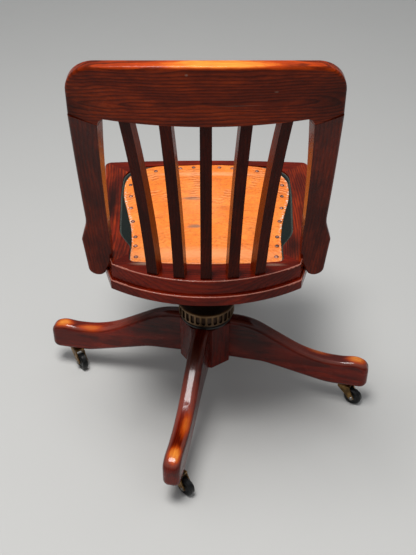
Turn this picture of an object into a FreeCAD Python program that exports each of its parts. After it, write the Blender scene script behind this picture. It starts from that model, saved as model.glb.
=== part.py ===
import FreeCAD, Part
import math
import os
import re
import Sketcher

# Bankers swivel chair: a wooden four-leg base on casters, a height screw turned by a ribbed ring,
# a sprung tilt iron, a framed seat with a nailed leather panel and a bent slat back.
# Millimetres, +Z up, origin on the floor under the swivel axis. The chair faces -Y.

SIZES_TEXT = """
running_gap           0.05   radial clearance of a shaft in its bore
sliding_gap           0.3    gap between faces that pass each other

leg_yaw              -11.1   bearing of the first leg, as the base stands
leg_thickness         34     leg across its flat sides
leg_reach            345     swivel axis to a leg's tip
leg_root_top         192     top of a leg where it meets the post
leg_root_bottom       87.5   underside of a leg where it meets the post
leg_knee_reach       92      where the top begins to fall
leg_ankle_reach      226     where the top levels out again
leg_ankle_top        115     top of the leg at its thinnest
leg_belly_reach      125     where the underside begins to fall
leg_belly_bottom      85.5   underside at the belly
leg_heel_reach       262     where the underside becomes the foot
foot_bottom           50     underside of the foot above the floor
foot_top             118     highest point of the foot
foot_crown_reach     320     where the foot's crown is
foot_nose_top        106     top corner of the foot's nose
leg_top_rounding       12    hand rounding along the top edges

post_width           104     eight-sided post across its flats
post_bottom           87     underside of the post
post_top             190     top of the post under the iron collar

dowel_radius           5     dowels that carry the legs
dowel_length          56     half in the post and half in the leg
dowel_low            116     height of the lower row of dowels
dowel_high           166     height of the upper row of dowels

caster_reach         298     swivel axis to a caster's stem
wheel_radius          19     caster wheel
wheel_width           14     caster wheel across its faces
wheel_side_gap         1     wheel to fork cheek
caster_trail          24     wheel axle behind the stem
axle_radius            2.5   caster axle
stem_radius            5.5   caster stem
stem_top              84     top of the stem in the leg
sleeve_wall            2.4   wall of the stem's sleeve
sleeve_flange_radius  12     flange of the sleeve under the foot
sleeve_flange          1.6   thickness of that flange
fork_plate             4     thickness of the fork's crown
fork_cheek             2.6   thickness of a fork cheek
fork_eye_radius        6     round end of a fork cheek

screw_radius          13     height screw
screw_bottom         104     lower end of the screw at rest
screw_shoulder_radius 19     thrust shoulder under the yoke
screw_shoulder         6     height of that shoulder
journal_radius        11     part of the screw that the yoke turns on
tube_wall              4     wall of the tube in the post
tube_bottom           94     lower end of that tube
collar_radius         54     iron collar on the post
collar_step            2.2   each step of the collar, inwards
collar_height         10     collar above the post
key_width              5     key that stops the screw turning
key_depth              3     key into the screw
key_length            30     key along the tube

ring_radius           57.5   ribbed adjusting ring over its ribs
ring_height           36     ribbed adjusting ring from bottom to top
ring_lip               5     smooth lip above and below the ribs
ring_band             23     height of the ribbed band
ring_rib_count        30     ribs round the ring
ring_cup_depth         3.4   hollow between two ribs
ring_cup_width         8.2   width of such a hollow
ring_neck_radius      34     top of the ring under the yoke

yoke_gap               4     ring's top to the screw's shoulder
yoke_radius           26     hub of the yoke
yoke_hub              42     height of that hub
yoke_floor            13     web that joins the cheeks
cheek_inside          34     axis to a cheek's inner face
cheek_thickness       11     cheek of the yoke
eye_radius            14     round end of a cheek or lug
pivot_height         330     tilt pin above the floor
pivot_radius           7     tilt pin
lug_thickness         10     lug of the spider beside a cheek
arm_width             30     yoke's front arm
arm_thickness         10     yoke's front arm
rod_reach             92     tilt pin to tension rod
rod_radius             5     tension rod
rod_slot_radius        9     hole for the rod in the arm
rod_bottom           206     lower end of the rod
trunnion_radius       10     cross piece that the rod hangs in
trunnion_width        24     cross piece between its lugs
trunnion_pin_radius    4     pins at the ends of the cross piece
knob_radius           23     tension knob
knob_height           22     tension knob
spring_radius         15     tension spring, to the middle of its wire
spring_wire            4     wire of the spring
spring_turns           4     turns of the spring
spring_seat_radius    19     plate under the spring
spring_seat            4     thickness of that plate
spider_plate           5     thickness of the spider
spider_arm            34     width of a spider arm
spider_reach_side     98     axis to the screws, sideways
spider_reach_front   105     axis to the screws, forwards and back
buffer_radius          9     buffer that the seat rests on
buffer_height          8     buffer that the seat rests on
buffer_reach          62     tilt pin to buffer

seat_height          427.5   top of the seat frame
rail_depth            31     upper band of the seat frame
apron_depth           19     lower band of the seat frame
apron_lip              6     lower band standing out
front_half           214     half the frame's width at the front
front_edge           213     axis to the front corners
front_bow              9     bow of the front edge
side_half            182     half the frame's width at the rear end of its sides
side_end              95     axis to the rear end of the sides
rear_half            168     half the rear rail's width
rear_edge            143     axis to the rear corners
rear_bow              50     bow of the rear edge
recess_front_half    171     half the recess's width at the front
recess_front         192     axis to the recess's front corners
recess_front_bow      11     bow of the recess's front edge
recess_waist_half    139     half the recess's width at the rear
recess_waist_reach    90     where the recess has narrowed
recess_side_half     170     half its width where it is widest
recess_side_reach     80     where it begins to narrow, forwards
recess_hip_half      162     half its width where it turns in
recess_hip_reach      48     where it turns in
recess_rear          134     axis to the recess's rear corners
recess_rear_bow       10     bow of the recess's rear edge
recess_depth          17     rebate for the board
ledge_width           14     ledge that carries the board
apron_width           24     apron from outside to inside
mitre_front_reach    139     inner end of the front mitre, forwards
mitre_front_half     120     inner end of the front mitre, sideways
mitre_front_slope      0.82  run of that mitre, forwards for each sideways
mitre_rear_reach     102.7   inner end of the rear joint, back
mitre_rear_half      130     inner end of the rear joint, sideways
mitre_rear_slope       0.912 run of that joint, back for each sideways
edge_rounding          3     easing of the frame's outer edges
batten_width          44     battens under the seat
batten_half           76     axis to the middle of a batten
board_thickness       12     board under the leather
felt_thickness         2     dark cloth between board and leather
leather_edge           1.6   leather at its edge
leather_crown          4.5   rise of the leather to its middle
leather_front_half   166     half the leather's width at the front
leather_front        191.6   axis to the leather's front corners
leather_front_bow     11     bow of the leather's front edge
leather_waist_half   137     half the leather's width at the rear
leather_waist_reach   52     where the leather has narrowed
leather_side_reach    86     where the leather begins to narrow, ahead of this
leather_rear         133.6   axis to the leather's rear corners
leather_rear_bow       9     bow of the leather's rear edge
nail_radius            4.2   upholstery nail head
nail_head              2     height of a nail head
nail_length            9     nail under its head

slat_count             5     slats
slat_width            19.5   slat seen from behind
slat_foot_depth       23     slat from back to front at the seat
slat_head_width       18     its width at the crest rail
slat_head_depth       17.5   slat from back to front at the crest rail
slat_pitch            47     distance between slats along the seat
slat_inset             5     rear edge of the seat to a slat's back
slat_turn              9.2   how far each next slat is turned
slat_head_pitch       59.2   distance between slats along the crest rail
slat_head_inset        3     crest rail's back face to a slat's back
slat_bow               8.5   bow of a slat towards the sitter
tenon_length          10     tenons at a slat's ends
tenon_gap              0.1   tenon to mortise

crest_bottom         752     lower edge of the crest rail, at its middle
crest_sweep            6     how much higher that edge is at the window's corners
crest_top            857     top of the crest rail at the middle
crest_fall            12     how far its top is lower at the ends
crest_half           201.2   half its width
crest_top_half       196.5   half its width near its top
crest_corner          50     its upper corners
crest_radius         800     bend of its back face, seen from above
crest_back           247     axis to its back face, at its lower edge
crest_thickness       24     from back to front
crest_rake             0.29  how far back for each millimetre up
crest_rounding         5     rounding of its top edges

joint_inside         745     joint of stile and crest rail, inner end
joint_outside        760     joint of stile and crest rail, outer end
window_half          158.4   half the opening between the stiles at the top
window_corner          11    upper corners of that opening
stile_inside         167     half the opening between the stiles lower down
stile_outside        204.9   half the back's width at its waist
stile_flare          217.5   half the back's width at the flares
flare_height         474     height of the flares
waist_height         522     where the flare begins
stile_bottom         384.5   lower end of a stile
stile_thickness       25     stile from back to front
stile_foot_back      120     axis to a stile's back at its lower end
stile_bow             14     bow of a stile towards the sitter
stile_centre         180     middle of a stile, sideways
stile_side_bend     3300     long curve of its sides, seen from behind
stile_rounding         5     easing of its edges
stile_screw_radius     3     screws that hold the stiles
stile_screw_head       6     their heads
stile_screw_length    52     their length
"""

doc = FreeCAD.newDocument("BankersChair")
sizes = doc.addObject("Spreadsheet::Sheet", "Sizes")
NAMES = []
for line in SIZES_TEXT.splitlines():
    if line.strip():
        alias, amount, note = line.split(None, 2)
        NAMES.append(alias)
        row = str(len(NAMES))
        sizes.set("A" + row, note)
        sizes.set("B" + row, amount)
        sizes.setAlias("B" + row, alias)
doc.recompute()

NODES = {}
X_AXIS, Y_AXIS, Z_AXIS = FreeCAD.Vector(1, 0, 0), FreeCAD.Vector(0, 1, 0), FreeCAD.Vector(0, 0, 1)


def bound(text):
    """The text of a formula, with each bare size name read from the sheet."""
    return re.sub(r"[a-z][a-z_0-9]*", lambda m: "Sizes." + m[0] if m[0] in NAMES else m[0], str(text))


def size(text):
    """The value of a formula of size names."""
    result = sizes.evalExpression(bound(text))
    return float(getattr(result, "Value", result))


def place(thing, x="0", y="0", z="0", rotation=None):
    """Puts an object where formulas say, with a plain rotation about its own origin."""
    thing.Placement = FreeCAD.Placement(
        FreeCAD.Vector(size(x), size(y), size(z)), rotation or FreeCAD.Rotation())
    for axis, text in (("x", x), ("y", y), ("z", z)):
        thing.setExpression("Placement.Base." + axis, bound(text))
    return thing


def node(thing, name):
    """Names the finished object of a sub-part."""
    thing.Label = name
    NODES[name] = thing
    return thing


def turn(axis, text):
    return FreeCAD.Rotation(axis, size(text))


def new_body(name):
    return doc.addObject("PartDesign::Body", name + "_body")


def sketch_on(body, role, offset="0"):
    """A sketch on one of the body's own origin planes, moved along its normal."""
    sketch = body.newObject("Sketcher::SketchObject", body.Name + "_sketch")
    support = [face for face in body.Origin.OriginFeatures if face.Role == role][0]
    sketch.AttachmentSupport = [(support, "")]
    sketch.MapMode = "FlatFace"
    sketch.AttachmentOffset = FreeCAD.Placement(FreeCAD.Vector(0, 0, size(offset)), FreeCAD.Rotation())
    sketch.setExpression("AttachmentOffset.Base.z", bound(offset))
    return sketch


def constrain(sketch, kind, *where):
    """A driving constraint whose last entry is a formula."""
    text = where[-1]
    index = sketch.addConstraint(Sketcher.Constraint(kind, *where[:-1], size(text)))
    sketch.setExpression("Constraints[%d]" % index, bound(text))


def draw(sketch, corners):
    """Closed outline. A corner is (x, y), or (x, y, radius, side) where an arc leads on to the next
    corner: side 1 has the arc's centre on the left of the way, -1 on its right."""
    points = [FreeCAD.Vector(size(c[0]), size(c[1]), 0) for c in corners]
    runs = []
    for i, corner in enumerate(corners):
        start, end = points[i], points[(i + 1) % len(points)]
        if len(corner) == 2:
            runs.append((sketch.addGeometry(Part.LineSegment(start, end), False), 1, 2))
            continue
        radius, side = size(corner[2]), corner[3]
        chord = end - start
        left = FreeCAD.Vector(-chord.y, chord.x, 0).normalize()
        centre = (start + end) * 0.5 + left * side * math.sqrt(radius ** 2 - chord.Length ** 2 / 4)
        first, last = (start, end) if side > 0 else (end, start)
        angles = [math.atan2(p.y - centre.y, p.x - centre.x) for p in (first, last)]
        if angles[1] < angles[0]:
            angles[1] += 2 * math.pi
        arc = Part.ArcOfCircle(Part.Circle(centre, Z_AXIS, radius), *angles)
        runs.append((sketch.addGeometry(arc, False),) + ((1, 2) if side > 0 else (2, 1)))
    for i, corner in enumerate(corners):
        here, following = runs[i], runs[(i + 1) % len(runs)]
        sketch.addConstraint(Sketcher.Constraint("Coincident", here[0], here[2], following[0], following[1]))
        constrain(sketch, "DistanceX", -1, 1, here[0], here[1], corner[0])
        constrain(sketch, "DistanceY", -1, 1, here[0], here[1], corner[1])
        if len(corner) == 4:
            constrain(sketch, "Radius", here[0], corner[2])


def draw_circle(sketch, x, y, radius):
    circle = Part.Circle(FreeCAD.Vector(size(x), size(y), 0), Z_AXIS, size(radius))
    index = sketch.addGeometry(circle, False)
    constrain(sketch, "DistanceX", -1, 1, index, 3, x)
    constrain(sketch, "DistanceY", -1, 1, index, 3, y)
    constrain(sketch, "Radius", index, radius)


def box_corners(x_low, y_low, x_high, y_high):
    return [(x_low, y_low), (x_high, y_low), (x_high, y_high), (x_low, y_high)]


def mirrored(half):
    """A closed outline from its right half, listed from front to back. An arc given on the last
    corner of the half runs across to the left half, and so does one on the left half's last."""
    right = [corner[:2] for corner in half["right"]]
    left = [("-(%s)" % x, y) for x, y in reversed(right)]
    outline = right + left
    outline[len(right) - 1] += half["rear"]
    outline[-1] += half["front"]
    return outline


def pad(body, sketch, length, middle=False, backwards=False):
    feature = body.newObject("PartDesign::Pad", body.Name + "_pad")
    feature.Profile = sketch
    feature.Length = size(length)
    feature.setExpression("Length", bound(length))
    feature.SideType = "Symmetric" if middle else "One side"
    feature.Reversed = backwards
    sketch.Visibility = False
    doc.recompute()
    return feature


def pocket(body, sketch, depth, middle=False, backwards=False):
    """Cuts, and makes sure that something went."""
    before = body.Tip.Shape.Volume
    feature = body.newObject("PartDesign::Pocket", body.Name + "_pocket")
    feature.Profile = sketch
    feature.Length = size(depth)
    feature.setExpression("Length", bound(depth))
    feature.SideType = "Symmetric" if middle else "One side"
    feature.Reversed = backwards
    doc.recompute()
    if body.Tip.Shape.Volume > before - 0.01:
        raise RuntimeError(body.Name + ": a pocket cuts nothing")
    return feature


def revolve(body, sketch):
    feature = body.newObject("PartDesign::Revolution", body.Name + "_turned")
    feature.Profile = sketch
    feature.ReferenceAxis = (sketch, ["V_Axis"])
    feature.Angle = 360
    doc.recompute()
    return feature


def turned(name, corners):
    """A body turned about Z from an outline of (radius, height) corners."""
    body = new_body(name)
    sketch = sketch_on(body, "XZ_Plane")
    draw(sketch, corners)
    revolve(body, sketch)
    return body


def prism(name, corners, role, length, offset="0", middle=False, backwards=False):
    """A body made by one pad."""
    body = new_body(name)
    sketch = sketch_on(body, role, offset)
    draw(sketch, corners)
    pad(body, sketch, length, middle, backwards)
    return body


def rounded(body, radius, wanted):
    """Fillets the edges of the body's last feature that wanted(edge) picks."""
    base = body.Tip
    names = ["Edge%d" % (i + 1) for i, edge in enumerate(base.Shape.Edges) if wanted(edge)]
    if not names:
        raise RuntimeError(body.Name + ": no edge to round")
    fillet = body.newObject("PartDesign::Fillet", body.Name + "_fillet")
    fillet.Base = (base, names)
    fillet.Radius = size(radius)
    fillet.setExpression("Radius", bound(radius))
    doc.recompute()
    if fillet.Shape.isNull() or not fillet.Shape.isValid():
        raise RuntimeError("%s: rounding of %s fails" % (body.Name, radius))
    return fillet


def runs_through(axis, first, second):
    """Picks straight edges along an axis (0, 1, 2) that pass through a point of the other two."""
    others = [i for i in range(3) if i != axis]
    target = (size(first), size(second))

    def wanted(edge):
        if edge.Curve.TypeId != "Part::GeomLine" or abs(edge.Curve.Direction[axis]) < 0.999:
            return False
        middle = edge.CenterOfMass
        return all(abs(middle[others[i]] - target[i]) < 0.02 for i in (0, 1))
    return wanted


def rounded_corners(body, axis, corners):
    """Fillets at sharp corners of a padded outline, as (first, second, radius)."""
    for first, second, radius in corners:
        rounded(body, radius, runs_through(axis, first, second))


def boolean(kind, name, base, tool):
    feature = doc.addObject("Part::" + kind, name + "_" + kind.lower())
    feature.Base = base
    feature.Tool = tool
    doc.recompute()
    return feature


def group(name, members):
    feature = doc.addObject("Part::Compound", name + "_group")
    feature.Links = members
    doc.recompute()
    return feature


def cylinder(name, radius, height, x="0", y="0", z="0", rotation=None):
    thing = doc.addObject("Part::Cylinder", name)
    for prop, text in (("Radius", radius), ("Height", height)):
        setattr(thing, prop, size(text))
        thing.setExpression(prop, bound(text))
    return place(thing, x, y, z, rotation)


def block(name, x_low, y_low, z_low, length, width, height):
    thing = doc.addObject("Part::Box", name)
    for prop, text in (("Length", length), ("Width", width), ("Height", height)):
        setattr(thing, prop, size(text))
        thing.setExpression(prop, bound(text))
    return place(thing, x_low, y_low, z_low)


def ring_of(name, count, make):
    """Objects made at equal bearings round the swivel axis, starting at the first leg."""
    return [make(name + "_" + str(i + 1), "leg_yaw + %d * 360 / %d" % (i, count)) for i in range(count)]


# Base: post, legs and dowels

LEG_COUNT = 4


def dowel(name, bearing, height):
    out = FreeCAD.Rotation(Z_AXIS, size(bearing)).multiply(FreeCAD.Rotation(Y_AXIS, 90))
    start = "post_width / 2 - dowel_length / 2"
    return cylinder(name, "dowel_radius", "dowel_length",
                    "(%s) * cos(%s)" % (start, bearing), "(%s) * sin(%s)" % (start, bearing), height, out)


dowels = []
for row_name, row_height in (("low", "dowel_low"), ("high", "dowel_high")):
    dowels += ring_of("dowel_" + row_name, LEG_COUNT, lambda n, b, h=row_height: dowel(n, b, h))
leg_dowels = node(group("leg_dowels", dowels), "leg_dowels")

TUBE_RADIUS = "screw_radius + running_gap + tube_wall"
post = new_body("hub_post")
post_sketch = sketch_on(post, "XY_Plane", "post_bottom")
post_side, post_corner = "post_width / 2", "post_width / 2 * tan(22.5)"
draw(post_sketch, [(post_side, "-" + post_corner), (post_side, post_corner), (post_corner, post_side),
                   ("-" + post_corner, post_side), ("-" + post_side, post_corner),
                   ("-" + post_side, "-" + post_corner), ("-" + post_corner, "-" + post_side),
                   (post_corner, "-" + post_side)])
pad(post, post_sketch, "post_top - post_bottom")
post_bore = sketch_on(post, "XY_Plane", "post_top")
draw_circle(post_bore, "0", "0", TUBE_RADIUS)
pocket(post, post_bore, "post_top - post_bottom")
place(post, rotation=turn(Z_AXIS, "leg_yaw"))
node(boolean("Cut", "hub_post", post, leg_dowels), "hub_post")


def caster_spot(bearing):
    return "caster_reach * cos(%s)" % bearing, "caster_reach * sin(%s)" % bearing


def sleeve_hole(name, bearing):
    x, y = caster_spot(bearing)
    return cylinder(name, "stem_radius + running_gap + sleeve_wall", "stem_top + 2 - foot_bottom", x, y,
                    "foot_bottom", None)


sleeve_holes = group("sleeve_holes", ring_of("sleeve_hole", LEG_COUNT, sleeve_hole))
leg_cutters = group("leg_cutters", [leg_dowels, sleeve_holes])


def leg(name, bearing):
    """A leg sawn to its side profile, with rounded top edges."""
    body = prism(name, [
        ("post_width / 2", "leg_root_bottom"), ("leg_belly_reach", "leg_belly_bottom"),
        ("leg_heel_reach", "foot_bottom"), ("leg_reach", "foot_bottom"),
        ("leg_reach", "foot_nose_top"), ("foot_crown_reach", "foot_top"),
        ("leg_ankle_reach + 64", "leg_ankle_top - 1"), ("leg_ankle_reach", "leg_ankle_top"),
        ("leg_knee_reach", "leg_root_top"), ("post_width / 2", "leg_root_top")],
        "XZ_Plane", "leg_thickness", middle=True)
    rounded_corners(body, 1, [
        ("leg_belly_reach", "leg_belly_bottom", "90"), ("leg_heel_reach", "foot_bottom", "150"),
        ("leg_reach", "foot_bottom", "15"), ("leg_reach", "foot_nose_top", "22"),
        ("foot_crown_reach", "foot_top", "40"), ("leg_ankle_reach + 64", "leg_ankle_top - 1", "70"),
        ("leg_ankle_reach", "leg_ankle_top", "190"), ("leg_knee_reach", "leg_root_top", "130")])
    side = size("leg_thickness") / 2
    tip, root = size("leg_reach"), size("post_width / 2")
    top = size("leg_root_top")

    def outer(edge):
        ends = [v.Point for v in edge.Vertexes]
        return (all(abs(abs(p.y) - side) < 0.01 for p in ends) and abs(edge.CenterOfMass.y) > side - 0.01
                and edge.CenterOfMass.x > root + 0.5)

    def upper(edge):
        middle = edge.CenterOfMass
        halfway = (size("foot_bottom") + size("foot_nose_top")) / 2
        fall = (middle.x - size("leg_knee_reach")) / (tip - size("leg_knee_reach"))
        return outer(edge) and middle.z > top + (halfway - top) * max(0.0, min(1.0, fall)) - 14

    rounded(body, "leg_top_rounding", lambda edge: upper(edge))
    place(body, rotation=turn(Z_AXIS, bearing))
    return node(boolean("Cut", name, body, leg_cutters), name)


ring_of("leg", LEG_COUNT, leg)


# Casters

def sleeve(name, bearing):
    """Sleeve in the foot with a flange under it."""
    bore, wall = "stem_radius + running_gap", "stem_radius + running_gap + sleeve_wall"
    body = turned(name, [
        (bore, "foot_bottom - sleeve_flange"), ("sleeve_flange_radius", "foot_bottom - sleeve_flange"),
        ("sleeve_flange_radius", "foot_bottom"), (wall, "foot_bottom"), (wall, "stem_top + 2"),
        (bore, "stem_top + 2")])
    return place(body, *caster_spot(bearing))


node(group("caster_sleeves", ring_of("caster_sleeve", LEG_COUNT, sleeve)), "caster_sleeves")

# How each caster trails, as bearings of the wheel from its stem
CASTER_BEARINGS = (124, 139, 149, 132)
CROWN_TOP = "foot_bottom - sleeve_flange - sliding_gap"


def caster(index, bearing, trail_bearing):
    """A swivelling fork, its wheel and the axle riveted through both."""
    heading = turn(Z_AXIS, trail_bearing)
    spot = caster_spot(bearing)
    cheeks_half = "wheel_width / 2 + wheel_side_gap + fork_cheek"
    gap_half = "wheel_width / 2 + wheel_side_gap"

    fork = prism("caster_fork_%d" % index, [
        ("-9", CROWN_TOP + " - fork_plate - 2"), ("caster_trail - fork_eye_radius", "wheel_radius - 2"),
        ("caster_trail", "wheel_radius - fork_eye_radius"), ("caster_trail + fork_eye_radius", "wheel_radius"),
        ("caster_trail - 6", CROWN_TOP + " - fork_plate - 1"), ("caster_trail - 6", CROWN_TOP),
        ("-9", CROWN_TOP)], "XZ_Plane", "2 * (%s)" % cheeks_half, middle=True)
    gap = sketch_on(fork, "XZ_Plane")
    draw(gap, box_corners("-20", "0", "caster_trail + 20", CROWN_TOP + " - fork_plate"))
    pocket(fork, gap, "2 * (%s)" % gap_half, middle=True)
    crown = sketch_on(fork, "XY_Plane", CROWN_TOP + " - fork_plate")
    draw_circle(crown, "0", "0", "sleeve_flange_radius")
    pad(fork, crown, "fork_plate")
    stem = sketch_on(fork, "XY_Plane", CROWN_TOP)
    draw_circle(stem, "0", "0", "stem_radius")
    pad(fork, stem, "stem_top - (%s)" % CROWN_TOP)
    eye = sketch_on(fork, "XZ_Plane")
    draw_circle(eye, "caster_trail", "wheel_radius", "axle_radius")
    pocket(fork, eye, "4 * wheel_width", middle=True)
    place(fork, *spot, rotation=heading)
    node(fork, "caster_fork_%d" % index)

    across = heading.multiply(FreeCAD.Rotation(X_AXIS, 90))
    at_axle = ("%s + caster_trail * cos(%s)" % (spot[0], trail_bearing),
               "%s + caster_trail * sin(%s)" % (spot[1], trail_bearing), "wheel_radius")
    tread = "wheel_radius - 2.5"
    wheel = turned("caster_wheel_%d" % index, [
        ("axle_radius + running_gap", "-wheel_width / 2"), ("6", "-wheel_width / 2"),
        ("8", "-wheel_width / 2 + 1.5"), ("12.5", "-wheel_width / 2 + 1.5"),
        ("13.5", "-wheel_width / 2 + 0.5"), (tread, "-wheel_width / 2 + 0.5"),
        ("wheel_radius", "-wheel_width / 2 + 3"), ("wheel_radius", "wheel_width / 2 - 3"),
        (tread, "wheel_width / 2 - 0.5"), ("13.5", "wheel_width / 2 - 0.5"),
        ("12.5", "wheel_width / 2 - 1.5"), ("8", "wheel_width / 2 - 1.5"),
        ("6", "wheel_width / 2"), ("axle_radius + running_gap", "wheel_width / 2")])
    node(place(wheel, *at_axle, rotation=across), "caster_wheel_%d" % index)

    end, head = "(%s)" % cheeks_half, "(%s + 1.6)" % cheeks_half
    axle = turned("caster_axle_%d" % index, [
        ("0", "-" + head), ("axle_radius + 1", "-" + head), ("axle_radius + 2", "-" + end),
        ("axle_radius", "-" + end), ("axle_radius", end), ("axle_radius + 2", end),
        ("axle_radius + 1", head), ("0", head)])
    node(place(axle, *at_axle, rotation=across), "caster_axle_%d" % index)


for i, trail in enumerate(CASTER_BEARINGS):
    caster(i + 1, "leg_yaw + %d * 360 / %d" % (i, LEG_COUNT), str(trail))


# Height screw: collar and tube in the post, ribbed ring, keyed screw

COLLAR_TOP = "post_top + collar_height"
SCREW_BORE = "screw_radius + running_gap"
socket = turned("hub_collar", [
    (SCREW_BORE, "tube_bottom"), (TUBE_RADIUS, "tube_bottom"), (TUBE_RADIUS, "post_top"),
    ("collar_radius - collar_step", "post_top"),
    ("collar_radius - collar_step", "post_top + 2.5"), ("collar_radius", "post_top + 3.5"),
    ("collar_radius", "post_top + 6"), ("collar_radius - collar_step", "post_top + 7"),
    ("collar_radius - collar_step", COLLAR_TOP), (SCREW_BORE, COLLAR_TOP)])
key = block("screw_key_bar", "screw_radius - key_depth", "-key_width / 2", "post_top - key_length",
            "key_depth + tube_wall - 1", "key_width", "key_length")
node(key, "screw_key")
node(boolean("Cut", "hub_collar", socket, key), "hub_collar")

RING_BOTTOM = "%s + sliding_gap" % COLLAR_TOP
RING_TOP = "%s + ring_height" % RING_BOTTOM
BAND_LOW = "%s + ring_lip" % RING_BOTTOM
BAND_HIGH = "%s + ring_band" % BAND_LOW
ring = turned("adjusting_ring", [
    (SCREW_BORE, RING_BOTTOM), ("ring_radius - 3", RING_BOTTOM), ("ring_radius - 1.5", RING_BOTTOM + " + 1.5"),
    ("ring_radius - 1.5", BAND_LOW + " - 0.6"), ("ring_radius", BAND_LOW), ("ring_radius", BAND_HIGH),
    ("ring_radius + 0.8", BAND_HIGH + " + 1"), ("ring_radius + 0.8", BAND_HIGH + " + 3"),
    ("ring_radius - 2", BAND_HIGH + " + 4.5"), ("ring_neck_radius + 9", RING_TOP + " - 3"),
    ("ring_neck_radius", RING_TOP), (SCREW_BORE, RING_TOP)])
cup = sketch_on(ring, "YZ_Plane", "ring_radius - ring_cup_depth")
draw(cup, [("-ring_cup_width / 2", BAND_LOW + " + 5", "ring_cup_width / 2 + 0.01", 1),
           ("ring_cup_width / 2", BAND_LOW + " + 5"), ("ring_cup_width / 2", BAND_HIGH + " - 2"),
           ("-ring_cup_width / 2", BAND_HIGH + " - 2")])
first_cup = pocket(ring, cup, "ring_cup_depth + 5", backwards=True)
cups = ring.newObject("PartDesign::PolarPattern", "ring_cups")
cups.Originals = [first_cup]
cups.Angle = 360
cups.Occurrences = int(size("ring_rib_count"))
cups.setExpression("Occurrences", bound("ring_rib_count"))
cups.Axis = ([f for f in ring.Origin.OriginFeatures if f.Role == "Z_Axis"][0], [""])
ring.Tip = cups
doc.recompute()
node(ring, "adjusting_ring")

SHOULDER = "%s + yoke_gap" % RING_TOP
YOKE_BOTTOM = "%s + screw_shoulder + sliding_gap" % SHOULDER
YOKE_TOP = "%s + yoke_hub" % YOKE_BOTTOM
screw = turned("height_screw", [
    ("0", "screw_bottom"), ("screw_radius - 2", "screw_bottom"), ("screw_radius", "screw_bottom + 2"),
    ("screw_radius", SHOULDER), ("screw_shoulder_radius", SHOULDER),
    ("screw_shoulder_radius", SHOULDER + " + screw_shoulder"),
    ("journal_radius", SHOULDER + " + screw_shoulder"), ("journal_radius", YOKE_TOP + " + 9"),
    ("journal_radius - 1.5", YOKE_TOP + " + 10.5"), ("0", YOKE_TOP + " + 10.5")])
keyway = sketch_on(screw, "XY_Plane", "screw_bottom - 1")
draw(keyway, box_corners("screw_radius - key_depth - sliding_gap", "-key_width / 2 - running_gap",
                         "screw_radius + 2", "key_width / 2 + running_gap"))
pocket(screw, keyway, "%s - screw_bottom" % RING_BOTTOM, backwards=True)
node(screw, "height_screw")

nut = new_body("screw_nut")
nut_sketch = sketch_on(nut, "XY_Plane", YOKE_TOP + " + sliding_gap")
flat_half, corner_reach = "16 / sqrt(3)", "32 / sqrt(3)"
draw(nut_sketch, [(corner_reach, "0"), (flat_half, "16"), ("-" + flat_half, "16"), ("-" + corner_reach, "0"),
                  ("-" + flat_half, "-16"), (flat_half, "-16")])
pad(nut, nut_sketch, "8")
nut_bore = sketch_on(nut, "XY_Plane", YOKE_TOP + " + sliding_gap")
draw_circle(nut_bore, "0", "0", "journal_radius")
pocket(nut, nut_bore, "8", backwards=True)
node(nut, "screw_nut")


# Tilt iron: yoke on the screw, spider under the seat, tilt pin, sprung tension rod in front

ARM_TOP = "%s + arm_thickness" % ("(" + YOKE_TOP + ") - arm_thickness + 6")
ARM_BOTTOM = "(%s) - arm_thickness" % ARM_TOP
CHEEK_OUTSIDE = "cheek_inside + cheek_thickness"
PLATE_BOTTOM = "seat_height - rail_depth - apron_depth - spider_plate"
BUFFER_TOP = "%s - sliding_gap" % PLATE_BOTTOM


yoke = new_body("swivel_yoke")
hub_sketch = sketch_on(yoke, "XY_Plane", YOKE_BOTTOM)
draw_circle(hub_sketch, "0", "0", "yoke_radius")
pad(yoke, hub_sketch, "yoke_hub")
web_sketch = sketch_on(yoke, "XY_Plane", YOKE_TOP + " - yoke_floor")
draw(web_sketch, box_corners("-(%s)" % CHEEK_OUTSIDE, "-26", CHEEK_OUTSIDE, "26"))
pad(yoke, web_sketch, "yoke_floor")
for side in (1, -1):
    inner = "cheek_inside" if side > 0 else "-(%s)" % CHEEK_OUTSIDE
    cheek = sketch_on(yoke, "YZ_Plane", inner)
    draw(cheek, [("-26", YOKE_TOP + " - yoke_floor"), ("26", YOKE_TOP + " - yoke_floor"),
                 ("26", YOKE_TOP), ("eye_radius", "pivot_height", "eye_radius + 0.001", 1),
                 ("-eye_radius", "pivot_height"), ("-26", YOKE_TOP)])
    pad(yoke, cheek, "cheek_thickness")
arm = sketch_on(yoke, "XY_Plane", ARM_BOTTOM)
draw(arm, [("-arm_width / 2", "-rod_reach", "arm_width / 2 + 0.001", 1), ("arm_width / 2", "-rod_reach"),
           ("arm_width / 2 + 6", "-20"), ("-arm_width / 2 - 6", "-20")])
pad(yoke, arm, "arm_thickness")
rest = sketch_on(yoke, "XY_Plane", ARM_TOP)
draw(rest, box_corners("-buffer_radius", "-buffer_reach - buffer_radius", "buffer_radius",
                       "-buffer_reach + buffer_radius"))
pad(yoke, rest, "(%s) - buffer_height - (%s)" % (BUFFER_TOP, ARM_TOP))
for hole_x, hole_y, hole_radius, hole_from, hole_depth in (
        ("0", "0", "journal_radius + running_gap", YOKE_TOP, "yoke_hub"),
        ("0", "-rod_reach", "rod_slot_radius", ARM_TOP, "arm_thickness")):
    hole = sketch_on(yoke, "XY_Plane", hole_from)
    draw_circle(hole, hole_x, hole_y, hole_radius)
    pocket(yoke, hole, hole_depth)
pin_bore = sketch_on(yoke, "YZ_Plane")
draw_circle(pin_bore, "0", "pivot_height", "pivot_radius + running_gap")
pocket(yoke, pin_bore, "3 * (%s)" % CHEEK_OUTSIDE, middle=True)
node(yoke, "swivel_yoke")

buffer = cylinder("tilt_buffer_disc", "buffer_radius - 1", "buffer_height", "0", "-buffer_reach",
                  "(%s) - buffer_height" % BUFFER_TOP)
node(buffer, "tilt_buffer")

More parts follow.
